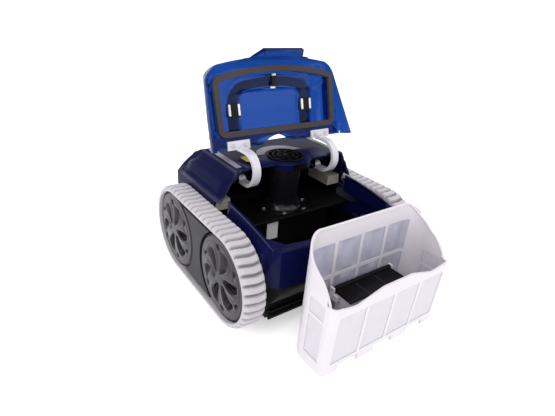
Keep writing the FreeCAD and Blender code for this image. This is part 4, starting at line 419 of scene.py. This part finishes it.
# ---------------------------------------------------------------- belts
BELT_RUN = 196.7               # millimetres between the middles of the two turns
BELT_AXLE_Z = 91.7
BELT_INSIDE, BELT_CARCASS = 81.0, 86.0
BELT_TURN = math.pi * BELT_CARCASS
RIDGES = 58
RIDGE_SAMPLES = 14
RIDGE_HEIGHT = 5.7
RIDGE_ROUND = 0.5              # how far a ridge's crown falls off to both edges
RIDGE_SWING, RIDGE_TRAIL = 1.3, 1.2    # how far a ridge waves along the belt, and its outer end lags
SWING_TURNS, SWING_START, TRAIL_START = 0.95, 0.08, 0.75
CROWN_AT = 0.45
RIDGE_FLANK = (0.52, 0.8)      # where a ridge falls to its groove, as shares of half a pitch
GROOVE_SHADE = (0.62, 0.84)
# Across the belt from its inner edge: (share of the width, share of the ridge's height).
RIDGE_ACROSS = [(0.0, 0.0), (0.02, 0.55), (0.05, 0.85), (0.1, 1.0)]
RIDGE_ACROSS += [(0.1 + 0.72 * step / 11, 1.0) for step in range(1, 12)]
RIDGE_ACROSS += [(0.87, 0.93), (0.91, 0.78), (0.95, 0.58), (0.98, 0.42), (1.0, 0.25)]


def belt_point(travel, radius):
    """(y, z) in millimetres at a distance along the belt, pushed out to a radius."""
    travel = travel % (2 * BELT_RUN + 2 * BELT_TURN)
    if travel < BELT_RUN:
        return -BELT_RUN / 2 + travel, BELT_AXLE_Z + radius
    travel -= BELT_RUN
    if travel < BELT_TURN:
        angle = math.pi / 2 - travel / BELT_CARCASS
        return BELT_RUN / 2 + radius * math.cos(angle), BELT_AXLE_Z + radius * math.sin(angle)
    travel -= BELT_TURN
    if travel < BELT_RUN:
        return BELT_RUN / 2 - travel, BELT_AXLE_Z - radius
    travel -= BELT_RUN
    angle = -math.pi / 2 - travel / BELT_CARCASS
    return -BELT_RUN / 2 + radius * math.cos(angle), BELT_AXLE_Z + radius * math.sin(angle)


def belt(end, side):
    """A moulded belt. Rounded ridges swing across it and fall away to a plain band outside."""
    low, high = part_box("track_" + end)
    inner_x, outer_x = sorted((abs(low.x) * 1000, abs(high.x) * 1000))
    width = outer_x - inner_x
    length = 2 * BELT_RUN + 2 * math.pi * BELT_CARCASS
    start = BELT_RUN * 1.5 + BELT_TURN
    samples = RIDGES * RIDGE_SAMPLES
    rows, painted_shade = [], []
    for i in range(samples):
        travel = start + length * i / samples
        row = []
        for share, gain in RIDGE_ACROSS:
            swing = (RIDGE_SWING * math.sin(2 * math.pi * (share * SWING_TURNS - SWING_START))
                     - RIDGE_TRAIL * ease(share, TRAIL_START, 1.0))
            phase = (i / samples * RIDGES + swing / (length / RIDGES)) % 1.0
            away = min(phase, 1 - phase) * 2
            rise = 1 - ease(away, *RIDGE_FLANK)
            # painted shade in the grooves between the ridges
            painted_shade.append(ease(away, *GROOVE_SHADE) * gain)
            crown = RIDGE_ROUND * (1 - (share - CROWN_AT) ** 2 * 2)
            radius = BELT_CARCASS + (RIDGE_HEIGHT - RIDGE_ROUND + crown) * gain * rise
            y, z = belt_point(travel, radius)
            row.append(robot(side * (inner_x + share * width), y, z))
        for share in (1.0, 0.5, 0.0):
            y, z = belt_point(travel, BELT_INSIDE)
            row.append(robot(side * (inner_x + share * width), y, z))
            painted_shade.append(0.0)
        rows.append(row)
    points, faces = lattice(rows, wrap_rows=True, wrap_columns=True)
    piece("belt_" + end, points, faces, BELT, "cleaner", ["track_" + end], "track_rubber",
          sharp=55, painted_shade=painted_shade)


# ---------------------------------------------------------------- wheel discs
DISC_AROUND = 264              # points round each ring
DISC_RINGS = 34
DISC_HUB, DISC_RIM = 9.0, 4    # the plain hub's radius, and the plain rim's width
RIM_RINGS = (2.6, 1.4, 0.5, 0.0)       # the rim's rings, measured in from the edge
DISC_INSET = 4.3               # from the hubcap's outermost face to the disc's edge
DOME_HEIGHT, DOME_POWER = 3.5, 2.2
EDGE_FALL, EDGE_WIDTH = 2.2, 3.2
BLADE_PITCH = 60               # degrees from one blade to the next
BLADE_SPAN = (11, 22, 50, 61)  # radii where a blade's hollow starts, is whole, fades and ends
BLADE_HOLLOW = (0.0, 0.07, 0.1, 0.62)  # the same round the disc, as shares of the pitch
BLADE_CREST = (0.72, 0.95, 0.97, 1.0)
BLADE_MIDDLE, BLADE_HALF = 36, 24
BLADE_BOW, BLADE_TWIST = 12, 0.08      # degrees at the middle radius, and for each millimetre out
BLADE_DEPTH, BLADE_LIFT = 7.2, 1.0
PIT_SHADE = (0.25, 0.9)
SLOT_SPAN, SLOT_WIDTH = (55, 57.5, 62.5, 65), (0.0, 0.03, 0.08, 0.2)
SLOT_RADIUS, SLOT_TURN, SLOT_SLANT, SLOT_DEPTH = 58, 28, 0.5, 3.4
GROOVE_SPAN, GROOVE_DEPTH = (67.2, 68.2, 69.0, 70.0), 0.7
DISC_BACK, DISC_DISH = 3.0, 5.0


def between(value, start, whole, fade, end):
    """0 outside start and end, 1 from whole to fade, and smooth steps between."""
    return ease(value, start, whole) * (1 - ease(value, fade, end))


def disc_face(r, angle, radius, edge_x):
    """(x, shade) of the disc's face: how far out it stands, and how much painted shade its hollows and
    slots get, 0 to 1.
    """
    x = edge_x + DOME_HEIGHT * (1 - (r / radius) ** DOME_POWER)
    x -= EDGE_FALL * ease(r, radius - EDGE_WIDTH, radius) ** 2
    bow = BLADE_BOW * (1 - ((r - BLADE_MIDDLE) / BLADE_HALF) ** 2)
    phase = ((angle + bow - BLADE_TWIST * r) % BLADE_PITCH) / BLADE_PITCH
    span = between(r, *BLADE_SPAN)
    hollow = between(phase, *BLADE_HOLLOW)
    x -= BLADE_DEPTH * span * hollow
    x += BLADE_LIFT * span * between(phase, *BLADE_CREST)
    across_slot = ((angle + SLOT_TURN - SLOT_SLANT * (r - SLOT_RADIUS)) % BLADE_PITCH) / BLADE_PITCH
    slot = between(r, *SLOT_SPAN) * between(across_slot, *SLOT_WIDTH)
    x -= SLOT_DEPTH * slot
    x -= GROOVE_DEPTH * between(r, *GROOVE_SPAN)
    return x, max(span * ease(hollow, *PIT_SHADE), slot)


def disc(end, side, place):
    """A domed disc with six fan-blade hollows round its hub and a small slot beside each."""
    low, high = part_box("hubcap_" + place + "_" + end)
    centre = (low + high) / 2
    radius = (high.z - low.z) / 2 * 1000
    edge_x = max(abs(low.x), abs(high.x)) * 1000 - DISC_INSET
    rings = [0, 3, 6, DISC_HUB]
    rings += [DISC_HUB + (radius - DISC_HUB - DISC_RIM) * step / DISC_RINGS
              for step in range(1, DISC_RINGS + 1)]
    rings += [radius - inset for inset in RIM_RINGS]
    back = ((radius, edge_x - DISC_BACK), (radius * 0.5, edge_x - DISC_BACK - DISC_DISH),
            (0, edge_x - DISC_BACK - DISC_DISH))
    angles = [360 * step / DISC_AROUND for step in range(DISC_AROUND)]

    def at(x, r, angle):
        turn = math.radians(angle)
        return Vector((side * x / 1000, centre.y - r * math.cos(turn) / 1000,
                       centre.z + r * math.sin(turn) / 1000))

    rows, painted_shade = [], []
    for r in rings:
        face = [disc_face(r, angle, radius, edge_x) for angle in angles]
        rows.append([at(x, r, angle) for (x, painted_pit_shade), angle in zip(face, angles)])
        # painted shade in the hollows and slots
        painted_shade += [painted_pit_shade for x, painted_pit_shade in face]
    for r, x in back:
        rows.append([at(x, r, angle) for angle in angles])
        painted_shade += [0.0] * DISC_AROUND
    points, faces = lattice(rows, wrap_columns=True)
    piece("disc_" + place + "_" + end, points, faces, GREY_DISC, place + "_wheel_" + end,
          ["hubcap_" + place + "_" + end], "wheel_grey", sharp=50, painted_shade=painted_shade)


for end, side in SIDES:
    belt(end, side)
    for place in ("front", "rear"):
        disc(end, side, place)


# ---------------------------------------------------------------- filter basket
# Millimetres. The walls lean in from the foot: by the taper at each end, by the lean in front.
BASKET_LOW, BASKET_HIGH = (corner * 1000 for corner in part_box("basket_frame"))
BASKET_MID_X = (BASKET_LOW.x + BASKET_HIGH.x) / 2
BASKET_BACK_Y = BASKET_HIGH.y - SHIFT * 1000
BASKET_TALL = BASKET_HIGH.z
BASKET_HALF, BASKET_DEPTH = 140.5, 86.5
BASKET_TAPER, BASKET_LEAN = 5.0, 11.0
BACK_CORNER, FRONT_CORNER = 36.0, 12.0
BASKET_FRONT_Y = BASKET_BACK_Y - BASKET_DEPTH

WINDOW_COLUMNS = 4
BACK_INSET, BACK_RIB = 23.5, 7.0       # from the wall's end to its first window, and between windows
FRONT_INSET, FRONT_RIB = 16.0, 6.0
END_INSET = 2.0                        # from a rounded corner to the end wall's window
BACK_ROWS = ((22.0, 114.5), (121.5, 185.0))
FRONT_ROWS = ((22.0, 118.0),)
END_ROWS = ((22.0, 97.0), (103.0, 131.0))
SHEET_MARGIN = 2.0             # how far a sheet runs on into the frame round its windows
SHEET_IN = 1.3                 # from a wall's outer face to the sheet in its middle
SHEET_THICK = 0.00035
SLACK_EDGE = 7.0               # the slack starts this far inside a window's edge
COLUMN_PITCH, ROW_PITCH = 2.4, 3.0
# The gathers as slanting waves: (turn per millimetre along, and across, size).
FOLD_WAVES = ((0.050, 0.026, 1.0), (0.083, -0.031, 0.55), (0.131, 0.052, 0.3))
FOLD_BEND, FOLD_BEND_TURN = 9, 0.021
BACK_GATHER, FRONT_GATHER, END_GATHER = 1.52, 0.36, 0.42

RIM_CORNER, RIM_LOW, RIM_MIDDLE = 136.0, 130.0, 145.0
SIDE_RIM, SIDE_MID_RIM, SIDE_FRONT_RIM = 196.0, 174.0, 138.0
SIDE_MID = 0.55                # the side rim's knee, as a share of the basket's depth
RIM_PLATEAU_INSET, RIM_FOOT_INSET = 45.0, 8.6
BACK_BULGE, SIDE_BULGE = 8.2, 5.4
WAVE_PLATEAU, WAVE_LOW, WAVE_INSET = 34.0, 88.0, 18.0
WAVE_BEND = 0.36
BEAD_RADIUS = 2.3
BEAD_DROP = 1.6                # how far the bead's middle lies below the rim
BEAD_TAPER, BEAD_LEAN = 4.2, 8.2       # how far in the end and front walls stand at the rim


def wall_half(z):
    """Half the basket's length at a height."""
    return BASKET_HALF - BASKET_TAPER * z / BASKET_TALL


def wall_front(z):
    """Where the front wall's outer face lies along Y at a height."""
    return BASKET_FRONT_Y - BASKET_LEAN * z / BASKET_TALL


def back_wall(x, z, inside):
    """Where the back wall's outer face, less an inset, lies along Y at x, rounded corners included."""
    past = max(0.0, abs(x - BASKET_MID_X) - (wall_half(z) - BACK_CORNER))
    return BASKET_BACK_Y - BACK_CORNER + math.sqrt(max(0.0, (BACK_CORNER - inside) ** 2 - past ** 2))


def folds(u, v, seed):
    """Gathers of a thin stretched mesh, in millimetres."""
    total = 0.0
    for k, (along, across, size) in enumerate(FOLD_WAVES):
        phase = seed * 1.7 + k * 2.1
        bend = FOLD_BEND * math.sin(v * FOLD_BEND_TURN + phase)
        total += size * math.sin((u + bend) * along * 2 + v * across * 2 + phase)
    return total


def slack(u, v, windows):
    """1 inside any window, easing to 0 at its edges, where the frame holds the mesh."""
    return max(ease(min(u - u0, u1 - u, v - v0, v1 - v), 0.0, SLACK_EDGE) for u0, u1, v0, v1 in windows)


def filter_sheet(name, node, place, windows, seed, gain, finish=FILTER_LIT):
    """Stretched filter mesh in the middle of a basket wall, slack within its windows."""
    u0, v0 = (min(window[k] for window in windows) - SHEET_MARGIN for k in (0, 2))
    u1, v1 = (max(window[k] for window in windows) + SHEET_MARGIN for k in (1, 3))
    columns, rows_count = int((u1 - u0) / COLUMN_PITCH), int((v1 - v0) / ROW_PITCH)
    rows = []
    for j in range(rows_count + 1):
        v = v0 + (v1 - v0) * j / rows_count
        row = []
        for i in range(columns + 1):
            u = u0 + (u1 - u0) * i / columns
            row.append(place(u, v, slack(u, v, windows) * gain * folds(u, v, seed)))
        rows.append(row)
    points, faces = lattice(rows)
    made = piece(name, points, faces, finish, "basket", [node], "mesh_white", sharp=80)
    thick = made.modifiers.new("thick", "SOLIDIFY")
    thick.thickness = SHEET_THICK
    thick.offset = 0


def wall_windows(inset, rib, rows):
    """(left, right, foot, top) of the windows of the back or the front wall."""
    pitch = (2 * (BASKET_HALF - inset) + rib) / WINDOW_COLUMNS
    first = BASKET_MID_X - pitch * (WINDOW_COLUMNS - 1) / 2
    half = (pitch - rib) / 2
    return [(first + c * pitch - half, first + c * pitch + half, foot, top)
            for c in range(WINDOW_COLUMNS) for foot, top in rows]


def basket_filters():
    """The four mesh sheets."""
    filter_sheet("filter_back", "mesh_back",
                 lambda u, v, off: robot(u, back_wall(u, v, SHEET_IN) + off, v),
                 wall_windows(BACK_INSET, BACK_RIB, BACK_ROWS), 1.0, BACK_GATHER, FILTER)
    filter_sheet("filter_front", "mesh_front",
                 lambda u, v, off: robot(u, wall_front(v) + SHEET_IN + off, v),
                 wall_windows(FRONT_INSET, FRONT_RIB, FRONT_ROWS), 2.3, FRONT_GATHER)
    back, front = BASKET_BACK_Y - BACK_CORNER - END_INSET, BASKET_FRONT_Y + FRONT_CORNER + END_INSET
    windows = [(front, back, foot, top) for foot, top in END_ROWS]
    for (end, side), seed in zip(SIDES, (3.1, 4.7)):
        filter_sheet("filter_" + end, "mesh_" + end,
                     lambda u, v, off: robot(BASKET_MID_X + side * (wall_half(v) - SHEET_IN + off), u, v),
                     windows, seed, END_GATHER)


def arc(value, a, b, rise):
    """Height on a bulged line from point a to point b, each given as (place, height)."""
    share = min(1.0, max(0.0, (value - a[0]) / (b[0] - a[0])))
    return a[1] + (b[1] - a[1]) * share + rise * 4 * share * (1 - share)


def rim_height(x, y):
    """The rim's height at a place on the basket's back and end walls."""
    across = abs(x - BASKET_MID_X)
    turn_y = BASKET_BACK_Y - BACK_CORNER / 2
    plateau, foot = BASKET_HALF - RIM_PLATEAU_INSET, BASKET_HALF - RIM_FOOT_INSET
    if y > turn_y:
        if across < plateau:
            return BASKET_TALL
        return arc(across, (plateau, BASKET_TALL), (foot, SIDE_RIM), BACK_BULGE)
    side_mid = BASKET_BACK_Y - BASKET_DEPTH * SIDE_MID
    front_foot = BASKET_FRONT_Y + FRONT_CORNER / 2
    if y > side_mid:
        return SIDE_RIM - (SIDE_RIM - SIDE_MID_RIM) * (turn_y - y) / (turn_y - side_mid)
    return arc(-y, (-side_mid, SIDE_MID_RIM), (-front_foot, SIDE_FRONT_RIM), SIDE_BULGE)


def front_wave(x):
    """The front rim: level in the middle, lower on both sides and a little up again to the corners."""
    across = abs(x - BASKET_MID_X)
    if across <= WAVE_PLATEAU:
        return RIM_MIDDLE
    if across <= WAVE_LOW:
        return RIM_MIDDLE - (RIM_MIDDLE - RIM_LOW) * (across - WAVE_PLATEAU) / (WAVE_LOW - WAVE_PLATEAU)
    share = min(1.0, (across - WAVE_LOW) / (BASKET_HALF - WAVE_INSET - WAVE_LOW))
    return RIM_LOW + (RIM_CORNER - RIM_LOW) * (WAVE_BEND * share + (1 - WAVE_BEND) * share * share)


def basket_plan():
    """(x, y, outward x, outward y) round the basket's outline at the rim, about its own middle."""
    half, back, front = BASKET_HALF - BEAD_TAPER, BASKET_BACK_Y, BASKET_FRONT_Y - BEAD_LEAN
    back_x, back_y = half - BACK_CORNER, back - BACK_CORNER
    front_x, front_y = half - FRONT_CORNER, front + FRONT_CORNER
    plan = []

    def corner(x, y, radius, start, steps):
        for step in range(steps + 1):
            angle = math.radians(start + 90 * step / steps)
            out = math.cos(angle), math.sin(angle)
            plan.append((x + radius * out[0], y + radius * out[1]) + out)

    def run(a, b, outward, steps):
        for step in range(1, steps):
            share = step / steps
            plan.append((a[0] + (b[0] - a[0]) * share, a[1] + (b[1] - a[1]) * share) + outward)

    corner(back_x, back_y, BACK_CORNER, 0, 16)
    run((back_x, back), (-back_x, back), (0, 1), 40)
    corner(-back_x, back_y, BACK_CORNER, 90, 16)
    run((-half, back_y), (-half, front_y), (-1, 0), 24)
    corner(-front_x, front_y, FRONT_CORNER, 180, 8)
    run((-front_x, front), (front_x, front), (0, -1), 80)
    corner(front_x, front_y, FRONT_CORNER, 270, 8)
    run((half, front_y), (half, back_y), (1, 0), 24)
    return plan


def basket_bead():
    """The thick rounded bead along the basket's rim."""
    path = []
    for x, y, out_x, out_y in basket_plan():
        wx = x + BASKET_MID_X
        z = rim_height(wx, y) if y > BASKET_FRONT_Y + 6 else min(rim_height(wx, y), front_wave(wx))
        if y <= BASKET_FRONT_Y + 10:
            blend = ease(-y, -(BASKET_FRONT_Y + 10), -(BASKET_FRONT_Y - 4))
            z = z * (1 - blend) + front_wave(wx) * blend
        lean_x = (wall_half(z) - (BASKET_HALF - BEAD_TAPER)) * out_x
        lean_y = (wall_front(z) - (BASKET_FRONT_Y - BEAD_LEAN)) * -out_y if out_y < -0.2 else 0.0
        path.append((robot(wx + lean_x, y + lean_y, z - BEAD_DROP), Vector((out_x, out_y, 0))))
    sweep("basket_rim", path, oval(BEAD_RADIUS, BEAD_RADIUS, BEAD_RADIUS, 30), BASKET, "basket",
          closed=True, sharp=80, slot="white_plastic")


basket_filters()
basket_bead()


# ---------------------------------------------------------------- casing details
# Millimetres, in the cleaner's own frame: Y from the middle between the wheels, up from the floor.
FLANK_FRONT, FLANK_LENGTH, FLANK_STATIONS = -170.4, 138.0, 60
FLANK_INNER, FLANK_OUTER, FLANK_FOOT = 150.0, 163.6, 159.6
FLANK_CLEAR = 0.05             # from the raised rim's face, so that the two don't share it
FLANK_CORNER = -157.0          # ahead of this the flank narrows round the casing's corner
SLOT_FALL = 2.4
SLOT_ENDS = (-112.0, -104.0, -34.0, -28.0)
RIM_FRONT, RIM_RUN, RIM_FRONT_Z, RIM_CLIMB, RIM_BOW = -174.0, 156.0, 170.0, 23.0, 5.0

SHOULDER_FRONT, SHOULDER_LENGTH, SHOULDER_STATIONS = -15.0, 182.0, 56
SHOULDER_PROUD = 0.3           # how far it stands off the shell's own face
SHOULDER_FOOT = 186.0
SHOULDER_REAR = (116.0, 180.0, 0.34)   # where its height starts and ends falling, and by what share

LIP_Z, LIP_FRONT, LIP_HALF = 247.6, -18.0, 126.0
COLLAR_RADIUS, COLLAR_Y, COLLAR_MEET = 52.3, 13.5, 41.7
LIP_STEPS, COLLAR_STEPS = 20, 36


def rim_top(y):
    """Height of the raised rim's top line beside the bay."""
    share = min(1.0, max(0.0, (y - RIM_FRONT) / RIM_RUN))
    return RIM_FRONT_Z + RIM_CLIMB * share + RIM_BOW * 4 * share * (1 - share)


def rim_flank(end, side):
    """The sloping flank between the raised rim and the casing's outer edge, with a long slot in it."""
    rows = []
    for step in range(FLANK_STATIONS + 1):
        y = FLANK_FRONT + FLANK_LENGTH * step / FLANK_STATIONS
        width = FLANK_OUTER - max(0.0, FLANK_CORNER - y) - FLANK_INNER
        top = rim_top(y)
        slot = SLOT_FALL * between(y, *SLOT_ENDS)
        drop = top - FLANK_FOOT
        section = [(0.0, -0.35), (0.12, -0.15 * drop), (0.3, -0.33 * drop), (0.36, -0.39 * drop),
                   (0.42, -0.44 * drop - slot), (0.62, -0.58 * drop - slot), (0.68, -0.63 * drop),
                   (0.84, -0.81 * drop), (0.95, -0.94 * drop), (1.0, -drop),
                   (0.5, -drop - 0.4), (0.0, -drop - 0.4)]
        rows.append([robot(side * (FLANK_INNER + FLANK_CLEAR + share * width), y, top + fall)
                     for share, fall in section])
    points, faces = capped(rows)
    piece("rim_flank_" + end, points, faces, NAVY, "cleaner", slot="navy_gloss", sharp=28)


def shoulder_step(end, side):
    """A stepped fairing on the shoulder, from the deck's edge down to the side wall."""
    rows = []
    fall_start, fall_end, fall = SHOULDER_REAR
    for step in range(SHOULDER_STATIONS + 1):
        y = SHOULDER_FRONT + SHOULDER_LENGTH * step / SHOULDER_STATIONS
        fade = between(y, SHOULDER_FRONT, 6.0, 132.0, 165.0)
        wave = 1.2 * math.sin((y - SHOULDER_FRONT) / 60)
        rear = 1 - ease(y, fall_start, fall_end) * fall
        section = [(128.4, 247.4), (133.0, 240.6), (139.4, 229.6 + wave),
                   (142.2 + 3.2 * fade, 226.6 + wave), (145.6 + 4.8 * fade, 222.4 + wave),
                   (150.6 + 3.6 * fade, 212.0 + wave), (155.0 + 2.4 * fade, 203.4),
                   (158.0 + 3.4 * fade, 200.2), (160.6 + 3.2 * fade, 196.0), (163.3 + 1.0 * fade, 187.0),
                   (158.0, 193.4), (146.0, 214.4), (134.0, 235.4)]
        rows.append([robot(side * (x + SHOULDER_PROUD), y,
                           SHOULDER_FOOT + (z - SHOULDER_FOOT) * rear + SHOULDER_PROUD)
                     for x, z in section])
    points, faces = capped(rows)
    piece("shoulder_" + end, points, faces, NAVY, "cleaner", slot="navy_gloss", sharp=26)


def opening_lip():
    """The rolled lip along the deck's front edge and round the outlet's collar."""
    side_run = LIP_HALF - COLLAR_MEET
    meet = math.degrees(math.acos((COLLAR_Y - LIP_FRONT) / COLLAR_RADIUS))
    stations = [(-LIP_HALF + side_run * step / LIP_STEPS, LIP_FRONT, 0.0, -1.0)
                for step in range(LIP_STEPS)]
    for step in range(COLLAR_STEPS + 1):
        angle = math.radians(-meet + 2 * meet * step / COLLAR_STEPS)
        out_x, out_y = math.sin(angle), -math.cos(angle)
        stations.append((COLLAR_RADIUS * out_x, COLLAR_Y + COLLAR_RADIUS * out_y, out_x, out_y))
    stations += [(COLLAR_MEET + side_run * step / LIP_STEPS, LIP_FRONT, 0.0, -1.0)
                 for step in range(1, LIP_STEPS + 1)]
    path = [(robot(x, y, LIP_Z), Vector((out_x, out_y, 0))) for x, y, out_x, out_y in stations]
    sweep("deck_lip", path, oval(1.2, 2.3, 0.3, 36), NAVY, "cleaner", sharp=80, slot="navy_gloss")


for end, side in SIDES:
    rim_flank(end, side)
    shoulder_step(end, side)
opening_lip()


# ---------------------------------------------------------------- lid details
# Millimetres of the lid as it lies level on the casing.
LID_PIVOT_Y, LID_PIVOT_Z, LID_OPEN = 25.0, 210.0, 105
PRONG_X, PRONG_REACH = 88.0, 10.5
RIB_COUNT, RIB_FIRST, RIB_PITCH = 5, -64.0, 23.0
RIB_INNER, RIB_OUTER, RIB_TOP = 141.5, 158.0, 213.0
RIB_HALF_THICK = 0.8
SKIRT_TAPER = 0.13             # how much the skirt closes in for each millimetre ahead of its start
SKIRT_START = -40.0


def lid_point(x, y, z):
    """A point of the level lid, swung up to the lid's open stop."""
    turn = math.radians(-LID_OPEN)
    y, z = y - LID_PIVOT_Y, z - LID_PIVOT_Z
    return robot(x, LID_PIVOT_Y + y * math.cos(turn) - z * math.sin(turn),
                 LID_PIVOT_Z + y * math.sin(turn) + z * math.cos(turn))


def lid_block(name, spans, finish, slot, rounding):
    """A set of small bars inside the lid, each given as (x0, x1, y0, y1, z0, z1) of the level lid."""
    points, faces = [], []
    for x0, x1, y0, y1, z0, z1 in spans:
        base = len(points)
        points += [lid_point(x, y, z) for z in (z0, z1)
                   for x, y in ((x0, y0), (x1, y0), (x1, y1), (x0, y1))]
        faces += [tuple(base + k for k in quad) for quad in
                  ((3, 2, 1, 0), (4, 5, 6, 7), (0, 1, 5, 4), (1, 2, 6, 5), (2, 3, 7, 6), (3, 0, 4, 7))]
    made = piece(name, points, faces, finish, "lid", slot=slot, sharp=30)
    edge = made.modifiers.new("edge", "BEVEL")
    edge.width = rounding
    edge.segments = EDGE_STEPS


def painted_slot_light():
    """White bars that paint the light seen through the slots beside the snap prongs, and the prongs' dark
    seats, under the handle's trough.
    """
    bars, seats = [], []
    for side in (-1, 1):
        for offset in (-PRONG_REACH, PRONG_REACH):
            x = side * PRONG_X + offset
            bars.append((x - 2.3, x + 2.3, -120.0, -98.0, 220.6, 224.0))
        seats.append((side * PRONG_X - 11.4, side * PRONG_X + 11.4, -123.0, -95.0, 221.8, 224.2))
    bars.append((-5.0, 5.0, -148.4, -144.4, 211.6, 216.4))
    bars.append((-4.0, 4.0, -172.0, -168.4, 204.6, 209.4))
    seats.append((-4.6, 4.6, -168.4, -148.4, 207.2, 212.0))
    lid_block("painted_slot_light", bars, SLOT_LIGHT_WHITE, "white_plastic", 0.0006)
    lid_block("clip_seats", seats, BLACK, "black_plastic", 0.0004)


def flank_ribs(end, side):
    """Thin upright ribs between the seal's web and the lid's skirt."""
    bars = []
    for k in range(RIB_COUNT):
        y = RIB_FIRST - RIB_PITCH * k
        outer = RIB_OUTER - SKIRT_TAPER * (SKIRT_START - y)
        x0, x1 = sorted((side * RIB_INNER, side * outer))
        bars.append((x0, x1, y - RIB_HALF_THICK, y + RIB_HALF_THICK, 199.0 + 0.02 * k, RIB_TOP))
    lid_block("lid_ribs_" + end, bars, LID, "lid_blue", 0.0004)


painted_slot_light()
for end, side in SIDES:
    flank_ribs(end, side)


# ---------------------------------------------------------------- camera, light and floor
LENS, SENSOR = 27.35, 36
CAMERA_YAW, CAMERA_PITCH, CAMERA_ROLL = 36.728, 26.436, 4.2426
CAMERA_PLACE = (-0.4934, -0.63395 + SHIFT, 0.53505)
LAMP_TARGET = (0, 0, 0.15)
LAMPS = (
    ("key", (1.6, 1.2), 5, (-1.9, -0.8, 1.7)),
    ("fill", (1.4, 1.4), 1.5, (1.4, -1.6, 1.4)),
    ("top", (1.8, 1.8), 2.5, (0.2, 0.5, 2.2)),
    ("strip_left", (0.06, 1.6), 6, (-1.2, -0.4, 1.6)),
    ("strip_front", (1.6, 0.06), 2.5, (-0.2, -1.4, 1.2)),
    ("strip_back", (1.6, 0.06), 3, (0.5, 1.3, 1.5)),
)
FLOOR_HALF, FLOOR_GLOW = 40, 0.45


def place_camera(scene):
    """A camera that looks down on the cleaner from its front left."""
    camera = bpy.data.objects.new("camera", bpy.data.cameras.new("camera"))
    scene.collection.objects.link(camera)
    camera.data.sensor_width = SENSOR
    camera.data.lens = LENS
    yaw, pitch, roll = (math.radians(angle) for angle in (CAMERA_YAW, CAMERA_PITCH, CAMERA_ROLL))
    forward = Vector((math.sin(yaw) * math.cos(pitch), math.cos(yaw) * math.cos(pitch), -math.sin(pitch)))
    level = Vector((math.cos(yaw), -math.sin(yaw), 0))
    upward = level.cross(forward)
    right = level * math.cos(roll) + upward * math.sin(roll)
    up = upward * math.cos(roll) - level * math.sin(roll)
    turn = Matrix((right, up, -forward)).transposed()
    camera.matrix_world = Matrix.Translation(CAMERA_PLACE) @ turn.to_4x4()
    scene.camera = camera


def place_lamp(scene, name, size, energy, place):
    """A rectangular soft lamp aimed at the cleaner."""
    light = bpy.data.lights.new(name, "AREA")
    light.shape = "RECTANGLE"
    light.size, light.size_y = size
    light.energy = energy
    holder = bpy.data.objects.new(name, light)
    scene.collection.objects.link(holder)
    holder.location = place
    aim = Vector(LAMP_TARGET) - Vector(place)
    holder.rotation_euler = aim.to_track_quat("-Z", "Y").to_euler()


def studio():
    """A bright white room: even light from all round, soft lamps and a floor that glows a little."""
    scene = bpy.context.scene
    scene.view_settings.view_transform = "Standard"
    place_camera(scene)

    world = bpy.data.worlds.new("studio")
    world.use_nodes = True
    world.node_tree.nodes["Background"].inputs["Color"].default_value = (1.0, 1.0, 1.0, 1.0)
    world.node_tree.nodes["Background"].inputs["Strength"].default_value = 1.0
    scene.world = world
    for lamp in LAMPS:
        place_lamp(scene, *lamp)

    floor_mesh = bpy.data.meshes.new("floor")
    floor_mesh.from_pydata([(-FLOOR_HALF, -FLOOR_HALF, 0), (FLOOR_HALF, -FLOOR_HALF, 0),
                            (FLOOR_HALF, FLOOR_HALF, 0), (-FLOOR_HALF, FLOOR_HALF, 0)], [], [(0, 1, 2, 3)])
    floor = bpy.data.objects.new("floor", floor_mesh)
    scene.collection.objects.link(floor)
    floor.data.materials.append(material("floor_white", (0.9, 0.9, 0.9), rough=0.9, bump=0.0, speck=0.0,
                                         mottle=0.0, specular=0.0, glow=FLOOR_GLOW))


studio()
